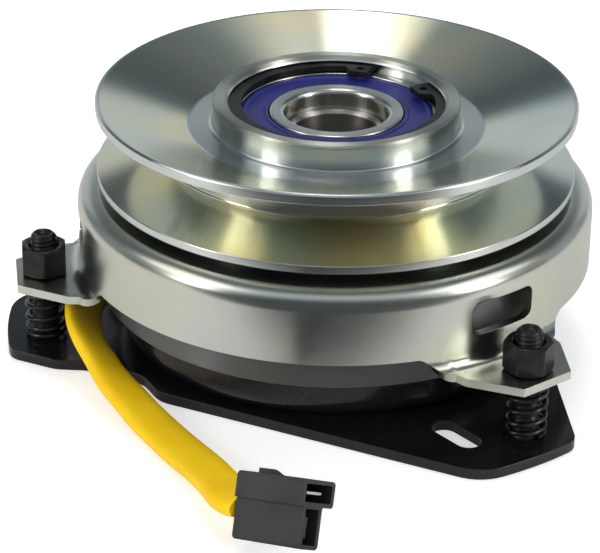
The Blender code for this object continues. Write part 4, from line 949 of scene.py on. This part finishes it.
def row_place(row, offset):
    """Rows are fixed down to the window's frame. Below it they share out what is left of the sheet."""
    if row < len(FIXED_ROWS):
        return FIXED_ROWS[row]
    return FRAME_END + (sheet_end(offset) - FRAME_END) * (row - len(FIXED_ROWS) + 1) / LOWER_ROWS


def grid_gap(angle, first_row, last_row):
    """The gap in the grid round a hole, as its first and last column and row."""
    return nearest(COLUMNS, -angle), nearest(COLUMNS, angle), first_row, last_row


EAR_RADII = [sheet_point(row_place(row, 0.0))[0] for row in ROWS]
EAR_ROWS = len(FIXED_ROWS) + 4
WINDOW_GAP = grid_gap(FRAME_ANGLE, nearest(FIXED_ROWS, FRAME_START), nearest(FIXED_ROWS, FRAME_END))
HOLE_GAP = grid_gap(HOLE_ANGLE, nearest(EAR_RADII, STUD_CIRCLE - STUD_MARGIN, EAR_ROWS),
                    nearest(EAR_RADII, STUD_CIRCLE + STUD_MARGIN, EAR_ROWS))


def gap_loop(first, last, low, high):
    """The grid's places round a gap, in order."""
    return ([(column, low) for column in range(first, last)]
            + [(last, row) for row in range(low, high)]
            + [(column, high) for column in range(last, first, -1)]
            + [(first, row) for row in range(high, low, -1)])


def in_gap(column, row):
    return any(first <= column < last and low <= row < high
               for first, last, low, high in (WINDOW_GAP, HOLE_GAP))


def onto_window(x, y):
    """The point of the window's rounded outline that lies on the ray from its middle through (x, y)."""
    low = 0.0
    high = 4.0
    for _ in range(40):
        share = (low + high) / 2
        dx = max(abs(x * share) - (WINDOW_HALF_WIDTH - WINDOW_CORNER), 0)
        dy = max(abs(y * share) - (WINDOW_HALF_HEIGHT - WINDOW_CORNER), 0)
        if math.hypot(dx, dy) < WINDOW_CORNER:
            low = share
        else:
            high = share
    return x * low, y * low


def toward_window(start, middle, share):
    """A share of the way round the wall from a vertex of the grid to the window's outline."""
    offset = math.remainder(math.atan2(start.y, start.x) - middle, math.tau)
    x, y = onto_window(CUP_RADIUS * math.sin(offset), start.z - WINDOW_MIDDLE)
    angle = offset + (math.asin(x / CUP_RADIUS) - offset) * share
    z = start.z + (WINDOW_MIDDLE + y - start.z) * share
    return (*polar(math.hypot(start.x, start.y), middle + angle), z)


def toward_hole(start, middle, share):
    """A share of the way over the ear from a vertex of the grid to the stud hole's edge."""
    centre = Vector((*polar(STUD_CIRCLE, middle), start.z))
    return start.lerp(centre + (start - centre).normalized() * STUD_HOLE, share)


def add_sheet_side(bm, side):
    """One side of the sheet: a grid, with rings of quads round each window and stud hole."""
    columns = []
    for middle in LOBE_ANGLES:
        for offset in COLUMNS:
            column = []
            for row in ROWS:
                r, z, out, up = sheet_point(row_place(row, offset))
                reach = r + side * out * SHEET / 2
                column.append(bm.verts.new((*polar(reach, middle + offset), z + side * up * SHEET / 2)))
            columns.append(column)
    holes = []
    for lobe, middle in enumerate(LOBE_ANGLES):
        base = lobe * len(COLUMNS)
        for column in range(len(COLUMNS)):
            here = columns[base + column]
            there = columns[(base + column + 1) % len(columns)]
            for row in ROWS[:-1]:
                if not in_gap(column, row):
                    bm.faces.new((here[row], there[row], there[row + 1], here[row + 1]))
        for gap, toward, shares in ((WINDOW_GAP, toward_window, (0.4, 0.75, 1.0)),
                                    (HOLE_GAP, toward_hole, (0.45, 0.8, 1.0))):
            edge = [columns[base + column][row] for column, row in gap_loop(*gap)]
            starts = [vertex.co.copy() for vertex in edge]
            for share in shares:
                ring = [bm.verts.new(toward(start, middle, share)) for start in starts]
                bridge(bm, edge, ring)
                edge = ring
            holes.append(edge)
    return columns, holes


def brake_plate():
    bm = bmesh.new()
    outer_columns, outer_holes = add_sheet_side(bm, 1)
    inner_columns, inner_holes = add_sheet_side(bm, -1)
    for end in (0, -1):
        bridge(bm, [column[end] for column in outer_columns], [column[end] for column in inner_columns])
    for above, below in zip(outer_holes, inner_holes):
        bridge(bm, above, below)
    soften(piece("brake_plate_drawn", bm, CUP_ZINC, "field", "brake_plate", 40), 0.45, 3, 50)


PAD_RADII = (61.5, 69.0)
PAD_HEIGHTS = (45.1, 47.0)
PAD_HALF_SWEEP = math.radians(26)


def brake_pads():
    """Three linings between the ears."""
    for number, lobe in enumerate(LOBE_ANGLES, 1):
        start = lobe + math.pi / LOBES - PAD_HALF_SWEEP
        end = start + 2 * PAD_HALF_SWEEP
        outline = arc((0, 0), PAD_RADII[1], start, end, 40) + arc((0, 0), PAD_RADII[0], end, start, 40)
        bm = bmesh.new()
        add_prism(bm, outline, *PAD_HEIGHTS)
        soften(piece(f"brake_pad_{number}_lining", bm, LINING, "field", f"brake_pad_{number}"), 0.2, 1)


brake_plate()
brake_pads()


# Mounting plate, studs, nuts and springs

PLATE_SIDE = 64.3
PLATE_NEAR_SIDE = 61.0
PLATE_REACH = 98.0
PLATE_CORNER = 6.5
PLATE_END_CORNER = 3.0
PLATE_LOBE = math.radians(-55.2)
NOTCH = ((-61.5, 0.0), (-52.5, 3.5), (-34.0, 3.5))     # along the side, and how deep
SLOT_SPOT = (77.0, math.radians(-63.8))
SLOT_DIRECTION = math.radians(-50)
SLOT_LENGTH = 17.0
SLOT_WIDTH = 7.5


def plate_outline():
    """The lobed plate. Each side starts further in, then steps out; the lead's side has a notch."""
    points = []
    half_share = math.pi / LOBES
    for i in range(LOBES):
        lobe = PLATE_LOBE + math.tau * i / LOBES
        side = lobe + half_share
        start = lobe - half_share + math.acos(PLATE_SIDE / PLATE_REACH)
        end = side - math.acos(PLATE_NEAR_SIDE / PLATE_REACH)
        points += plate_corner(start, lobe - half_share, PLATE_CORNER)
        points += [(*point, 0) for point in arc((0, 0), PLATE_REACH, start + PLATE_CORNER / PLATE_REACH,
                                                end - PLATE_END_CORNER / PLATE_REACH, 24)]
        points += plate_corner(end, side, -PLATE_END_CORNER)[::-1]
        outward = Vector(polar(1, side))
        along = Vector(polar(1, side + QUARTER))
        for distance, depth in NOTCH if i == LOBES - 1 else ((-45.0, 0.0),):
            points.append((*(outward * (PLATE_NEAR_SIDE - depth) + along * distance), 9.0))
        points.append((*(outward * PLATE_SIDE + along * -25.0), 9.0))
    return rounded(points, 0, 8)


def plate_corner(angle, side, size):
    """A soft corner, from the straight side to the large circle."""
    tip = Vector(polar(PLATE_REACH, angle))
    straight = tip - Vector(polar(size, side + QUARTER))
    end = Vector(polar(PLATE_REACH, angle + size / PLATE_REACH))
    points = []
    for k in range(10):
        t = k / 10
        points.append((*(straight * (1 - t) ** 2 + tip * 2 * t * (1 - t) + end * t ** 2), 0))
    return points


def straight_slot(centre, direction, length, width, steps):
    along = Vector(polar((length - width) / 2, direction))
    middle = Vector(centre)
    return (arc(middle + along, width / 2, direction - QUARTER, direction + QUARTER, steps)
            + arc(middle - along, width / 2, direction + QUARTER, direction + 3 * QUARTER, steps))


def mounting_plate():
    bm = bmesh.new()
    add_prism(bm, plate_outline(), 0, PLATE_TOP)
    obj = piece("mounting_plate_painted", bm, PAINT, "field", "mounting_plate")
    holes = [circle((0, 0), 24.0, 128)]
    for i, angle in enumerate(LOBE_ANGLES):
        turn = math.tau * i / LOBES
        centre = polar(SLOT_SPOT[0], SLOT_SPOT[1] + turn)
        holes += [circle(polar(STUD_CIRCLE, angle), STUD_HOLE, 48),
                  straight_slot(centre, SLOT_DIRECTION + turn, SLOT_LENGTH, SLOT_WIDTH, 20)]
    cut_prisms(obj, holes, -1, 5)
    soften(obj, 0.35, 3)


STUD_RADIUS = 3.97
STUD_LENGTH = 36.2
STUD_CHAMFER = 1.1
STUD_DISH = ((2.5, 0.05), (1.9, 0.7), (0.9, 0.95))     # radius, and how far below the end
THREAD_PITCH = 1.41
THREAD_DEPTH = 0.62
NUT_TURNS = (-6.8, 12.0, 28.9)
NUT_FLATS = 12.7
NUT_HEIGHT = 8.7
SPRING_RADIUS = 6.2
SPRING_WIRE = 0.7
SPRING_TURNS = 5.5


def stud_mesh():
    """A stud with a helical thread from the plate to its chamfered, slightly dished end."""
    bm = bmesh.new()
    around = 48
    rows = int(STUD_LENGTH / THREAD_PITCH * 8)
    rings = []
    for row in range(rows + 1):
        z = STUD_LENGTH * row / rows
        fade = min(1.0, max(0.0, (z - PLATE_TOP) / 1.5))
        limit = STUD_RADIUS - max(0.0, STUD_CHAMFER - (STUD_LENGTH - z))
        ring = []
        for i in range(around):
            ridge = abs((z / THREAD_PITCH - i / around) % 1.0 * 2 - 1)
            depth = THREAD_DEPTH * min(1.0, max(0.0, (ridge - 0.10) / 0.78))
            radius = min(STUD_RADIUS - depth * fade, limit)
            ring.append(bm.verts.new((*polar(radius, math.tau * i / around), z)))
        rings.append(ring)
    for radius, drop in STUD_DISH:
        rings.append([bm.verts.new((x, y, STUD_LENGTH - drop)) for x, y in circle((0, 0), radius, around)])
    add_tube(bm, rings)
    return bm


def nut_section(angle):
    """A hexagon with rounded corners, cut by a cone at both ends."""
    flat = NUT_FLATS / 2
    corner = flat / math.cos(math.pi / 6)
    slope = math.tan(math.pi / 6)
    bore = STUD_RADIUS + GAP
    within = (angle + math.pi / 6) % (math.pi / 3) - math.pi / 6
    reach = min(flat / math.cos(math.pi / 6 - abs(within)), corner - 0.12)
    fall = (reach - flat + (corner - flat) * 0.2) * slope
    return [(bore, 0), (flat * 0.97, 0), (reach, fall), (reach, NUT_HEIGHT - fall), (flat * 0.97, NUT_HEIGHT),
            (bore + 0.6, NUT_HEIGHT), (bore, NUT_HEIGHT - 0.6)]


def nut_mesh():
    bm = bmesh.new()
    add_turned(bm, nut_section, 96)
    return bm


def wire_across(direction, point, share):
    """Away from the coil's axis, square to the wire."""
    side = direction.cross(Vector((point.x, point.y, 0))).normalized()
    return side.cross(direction)


def spring_mesh():
    """Round wire in a coil, flatter at both ends, where the turns close up."""
    height = EAR_UNDERSIDE - PLATE_TOP - 2 * GAP - 2 * SPRING_WIRE
    steps = int(SPRING_TURNS * 36)
    points = []
    for i in range(steps + 1):
        u = i / steps
        rise = u - 0.4 * math.sin(math.tau * u) / math.tau
        spot = polar(SPRING_RADIUS - SPRING_WIRE, math.tau * SPRING_TURNS * u)
        points.append(Vector((*spot, SPRING_WIRE + height * rise)))
    bm = bmesh.new()
    add_swept(bm, points, circle((0, 0), SPRING_WIRE, 16), wire_across)
    return bm


def at_stud(bm, angle, height, turn=0.0):
    """Moves a mesh from the axis onto a stud."""
    spot = Matrix.Translation((*polar(STUD_CIRCLE, angle), height))
    bmesh.ops.transform(bm, matrix=spot @ Matrix.Rotation(angle + turn, 4, "Z"), verts=bm.verts)
    return bm


def studs_nuts_springs():
    for number, angle in enumerate(LOBE_ANGLES, 1):
        stud = at_stud(stud_mesh(), angle, 0)
        piece(f"stud_{number}_threaded", stud, OXIDE, "field", f"stud_{number}", 50)
        nut = at_stud(nut_mesh(), angle, EAR_UNDERSIDE + SHEET + GAP, math.radians(NUT_TURNS[number - 1]))
        hexagon = piece(f"nut_{number}_chamfered", nut, OXIDE, "field", f"adjusting_nut_{number}", 22)
        soften(hexagon, 0.18, 2, 18)
        spring = at_stud(spring_mesh(), angle, PLATE_TOP + GAP)
        piece(f"spring_{number}_wire", spring, SPRING, "field", f"spring_{number}", 60)


mounting_plate()
studs_nuts_springs()


# Plug and its contacts, drawn in the plug's own frame: X along it, Y across, Z up

PLUG_LENGTH = 23.75
PLUG_WIDTH = 11.9
PLUG_BAR = 6.9
PLUG_HEIGHT = 17.8
STEM_START = 0.8
STEM_END = 7.9
PLUG_WALL = 1.1
PLUG_FLOOR = PLUG_LENGTH - 15.0
ALONG_PLUG = Matrix(((0, 0, 1, 0), (1, 0, 0, 0), (0, 1, 0, 0), (0, 0, 0, 1)))
ACROSS_PLUG = Matrix(((1, 0, 0, 0), (0, 0, 1, 0), (0, 1, 0, 0), (0, 0, 0, 1)))


def plug_prism(outlines, start, end, place=ALONG_PLUG):
    """Outlines extruded along or across the plug, and moved to where the plug lies."""
    bm = bmesh.new()
    for outline in outlines:
        add_prism(bm, outline, start, end, place)
    matrix = Matrix.Translation(PLUG_CORNER) @ PLUG_TURN.to_matrix().to_4x4()
    bmesh.ops.transform(bm, matrix=matrix, verts=bm.verts)
    return bm


def plug():
    outline = [(0, 0, 1.2), (0, -PLUG_BAR, 0.4), (STEM_START, -PLUG_BAR, 0), (STEM_START, -PLUG_HEIGHT, 1.3),
               (STEM_END, -PLUG_HEIGHT, 1.3), (STEM_END, -PLUG_BAR, 0.4), (PLUG_WIDTH, -PLUG_BAR, 1.1),
               (PLUG_WIDTH, 0, 1.1)]
    body = plug_prism([rounded(outline, 1.0, 6)], 0, PLUG_LENGTH)
    obj = piece("plug_moulded", body, PLASTIC, "field", "plug_housing", 30)
    ramp = [(PLUG_LENGTH * 0.22, -1.3), (PLUG_LENGTH * 0.45, -1.3), (PLUG_LENGTH * 0.45, 0),
            (PLUG_LENGTH * 0.32, 1.3), (PLUG_LENGTH * 0.22, 1.3)]
    latch = plug_prism([ramp], PLUG_WIDTH * 0.2, PLUG_WIDTH * 0.55, ACROSS_PLUG)
    cut(obj, solid("latch", latch), "UNION")
    stem_in = STEM_START + PLUG_WALL
    stem_out = STEM_END - PLUG_WALL
    bar = rectangle(PLUG_WALL, PLUG_WIDTH - PLUG_WALL, -PLUG_WALL, PLUG_WALL - PLUG_BAR)
    stem = rectangle(stem_in, stem_out, -PLUG_BAR - PLUG_WALL / 2, PLUG_WALL - PLUG_HEIGHT)
    bays = plug_prism([rounded(bar, 0.35), rounded(stem, 0.35)], PLUG_FLOOR, PLUG_LENGTH + 1)
    cut(obj, solid("bays", bays))
    # The parting line under the bar
    line = rectangle(STEM_START - 0.5, STEM_START + 0.18, -PLUG_BAR - 0.05, -PLUG_BAR - 0.35)
    cut(obj, solid("line", plug_prism([line], -1, PLUG_LENGTH + 1)))
    soften(obj, 0.2, 2, 40)
    shown = [obj]
    for name, surface, y, z, width, height in (
            ("contact_level", TIN, PLUG_WIDTH / 2, -PLUG_BAR / 2, 5.6, 0.8),
            # The upright contact's blade gets the tin darkened with painted shade
            ("contact_upright", SHADED_TIN, (stem_in + stem_out) / 2, -(PLUG_BAR + PLUG_HEIGHT) / 2, 0.8, 5.6)):
        blade = rectangle(y - width / 2, y + width / 2, z - height / 2, z + height / 2)
        bm = plug_prism([rounded(blade, 0.2)], PLUG_FLOOR + GAP, PLUG_FLOOR + GAP + 13.0)
        contact = piece(f"{name}_blade", bm, surface, "field", name)
        soften(contact, 0.15, 2)
        shown.append(contact)
    return shown


def grommet():
    """Moulded sleeve with a bead, where the lead leaves the shell."""
    direction = (ROUTE[0] - ROUTE[1]).normalized()
    turn = Vector((0, 0, 1)).rotation_difference(direction).to_matrix().to_4x4()
    profile = [(0, 0), (4.0, 0, 0.4), (4.4, 0.8, 0.3), (4.4, 7.2, 0.3), (0, 7.2)]
    bm = bmesh.new()
    add_turned(bm, rounded(profile, 0, 4), 64, Matrix.Translation(ROUTE[0] + direction * GAP) @ turn)
    piece("grommet_moulded", bm, RUBBER, "field", "lead_grommet")


plug_pieces = plug()
grommet()


def leaf_springs():
    """Each blade is its CAD node's own mesh in spring steel; in the clutch it bends between its two rivets
    when the armature is pulled down.
    """
    for number in range(1, LOBES + 1):
        node = f"leaf_spring_{number}"
        bm = bmesh.new()
        bm.from_mesh(frame["nodes"][node].data)
        bm.transform(Matrix.Scale(1 / MM, 4) @ frame["nodes"][node].matrix_world)
        blade = solid(f"leaf_blade_{number}", bm)
        blade.data.materials.append(SPRING)
        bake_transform(blade)
        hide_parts(node)


leaf_springs()


# CAD nodes that stay, with better materials

KEPT = {"coil_bobbin": NYLON, "coil_winding": COPPER, "coil_potting": RESIN}
for number in range(1, LOBES + 1):
    KEPT[f"pulley_rivet_{number}"] = STEEL
    KEPT[f"armature_rivet_{number}"] = STEEL
for node, surface in KEPT.items():
    obj = frame["nodes"][node]
    if not obj.material_slots:
        obj.data.materials.append(surface)
    for material_slot in obj.material_slots:
        material_slot.material = surface

flatten_shading()


# Studio

def floor():
    half = 3.0
    mesh = bpy.data.meshes.new("floor")
    mesh.from_pydata([(x, y, 0) for x, y in rectangle(-half, half, -half, half)], [], [(0, 1, 2, 3)])
    obj = placed("floor", mesh)
    obj.location.z = -0.0002
    s = Surface("floor_white", (0.86, 0.86, 0.86), 0.6)
    rays = s.node("ShaderNodeLightPath").outputs
    parts = s.node("ShaderNodeSeparateXYZ", {0: s.position}).outputs
    # In reflections the floor turns nearly black a little in front of the clutch, soonest straight ahead of
    # it
    ahead = s.math("MULTIPLY_ADD", s.math("ABSOLUTE", parts["X"]), 0.35, parts["Y"])
    dark_ahead = s.math("MULTIPLY", rays["Is Glossy Ray"], s.fade(ahead, -0.090, -0.150))
    table = s.mix(rays["Is Glossy Ray"], (0.86, 0.86, 0.86), (0.70, 0.70, 0.69))
    s.put(Base_Color=s.mix(dark_ahead, table, (0.05, 0.05, 0.05)))
    # The camera and reflections see a floor lifted towards white, which keeps the soft shadow
    near = s.math("MULTIPLY", s.math("SUBTRACT", rays["Is Glossy Ray"], dark_ahead), 0.04)
    glow = s.glow((1, 1, 1), s.math("MULTIPLY_ADD", rays["Is Camera Ray"], 0.45, near))
    s.show(s.node("ShaderNodeAddShader", {0: s.shader.outputs[0], 1: glow}).outputs[0])
    mesh.materials.append(s.material)


def world():
    """White to the camera and in reflections, and dimmer as a light."""
    made = bpy.data.worlds.new("studio")
    bpy.context.scene.world = made
    made.use_nodes = True
    n = Nodes(made.node_tree)
    rays = n.node("ShaderNodeLightPath").outputs
    seen = n.math("MAXIMUM", rays["Is Camera Ray"], rays["Is Transmission Ray"])
    seen = n.math("MAXIMUM", seen, rays["Is Glossy Ray"])
    background = n.tree.nodes["Background"].inputs
    n.feed(background["Color"], (1, 1, 1))
    n.feed(background["Strength"], n.range(seen, 0.45, 1.0))


def lamp(name, place, size, power):
    data = bpy.data.lights.new(name, "AREA")
    data.shape = "RECTANGLE"
    data.size = size[0]
    data.size_y = size[1]
    data.energy = power
    obj = placed(name, data)
    obj.location = place
    obj.rotation_euler = (Vector((0, 0, 0.04)) - obj.location).to_track_quat("-Z", "Y").to_euler()
    # The reflector shows the lamps' soft boxes
    obj.visible_glossy = False


# The surroundings, as reflections see them: degrees to the right of the camera, degrees up, half
# width and half height in degrees, soft edge in degrees, and brightness
ROOM_BRIGHTNESS = 0.095
ROOM_COLOUR = (0.80, 0.97, 1.10)
BOX_COLOUR = (1.0, 0.985, 0.95)
SOFT_BOXES = (
    (63, 41, 10, 10, 4, 1.4),         # right and left soft boxes: middle, bright foot and dimmer side
    (-63, 41, 10, 10, 4, 1.4),
    (63, 19, 7, 9, 3, 7.0),
    (-63, 19, 7, 9, 3, 4.5),
    (84, 44, 13, 12, 4, 1.5),
    (-84, 44, 13, 12, 4, 1.5),
    (180, 8, 42, 16, 4, 0.42),        # white backdrop and its dimmer ends
    (180, 8, 80, 20, 6, 0.12),
    (113, 8, 17, 20, 9, 0.17),
    (-110, 8, 13, 20, 9, 0.07),
    (-171, 71, 5.5, 12, 1.5, 5.0),    # strip overhead, and its glow
    (-171, 64, 20, 20, 19, 0.30),
    (168, 68, 4, 14, 4, 0.8),
    (0, 57, 70, 14, 14, 0.52),        # pale ceiling
)


def reflector():
    """A dim dome with soft boxes, seen in reflections only."""
    bm = bmesh.new()
    bmesh.ops.create_uvsphere(bm, u_segments=64, v_segments=32, radius=2.5)
    mesh = bpy.data.meshes.new("reflector")
    bm.to_mesh(mesh)
    bm.free()
    obj = placed("reflector", mesh)
    s = Surface("reflector_boxes", (0, 0, 0), 1.0)
    toward = s.vector("NORMALIZE", s.position)
    boxes = 0.0
    for azimuth, elevation, half_width, half_height, edge, brightness in SOFT_BOXES:
        turn = Euler((math.radians(-elevation), 0, math.radians(azimuth))).to_matrix()
        share = s.math("GREATER_THAN", s.vector("DOT_PRODUCT", toward, turn @ Vector((0, -1, 0))), 0.0)
        for axis, half in ((Vector((1, 0, 0)), half_width), (Vector((0, 0, 1)), half_height)):
            away = s.math("ABSOLUTE", s.vector("DOT_PRODUCT", toward, turn @ axis))
            outside = math.sin(math.radians(half + edge))
            inside = math.sin(math.radians(half - edge))
            share = s.math("MULTIPLY", share, s.fade(away, outside, inside))
        boxes = s.math("MULTIPLY_ADD", share, brightness, boxes)
    colour = s.mix(s.math("MINIMUM", boxes, 1.0), ROOM_COLOUR, BOX_COLOUR)
    s.show(s.glow(colour, s.math("ADD", boxes, ROOM_BRIGHTNESS)))
    mesh.materials.append(s.material)
    obj.visible_camera = False
    obj.visible_diffuse = False
    obj.visible_shadow = False


floor()
world()
reflector()
lamp("left_box", (-0.95, -0.75, 0.50), (0.7, 0.6), 9.0)
lamp("right_box", (0.95, -0.75, 0.50), (0.7, 0.6), 8.0)
lamp("top_box", (0.0, 0.55, 1.3), (0.5, 0.5), 6.5)
bpy.context.scene.view_settings.view_transform = "Standard"
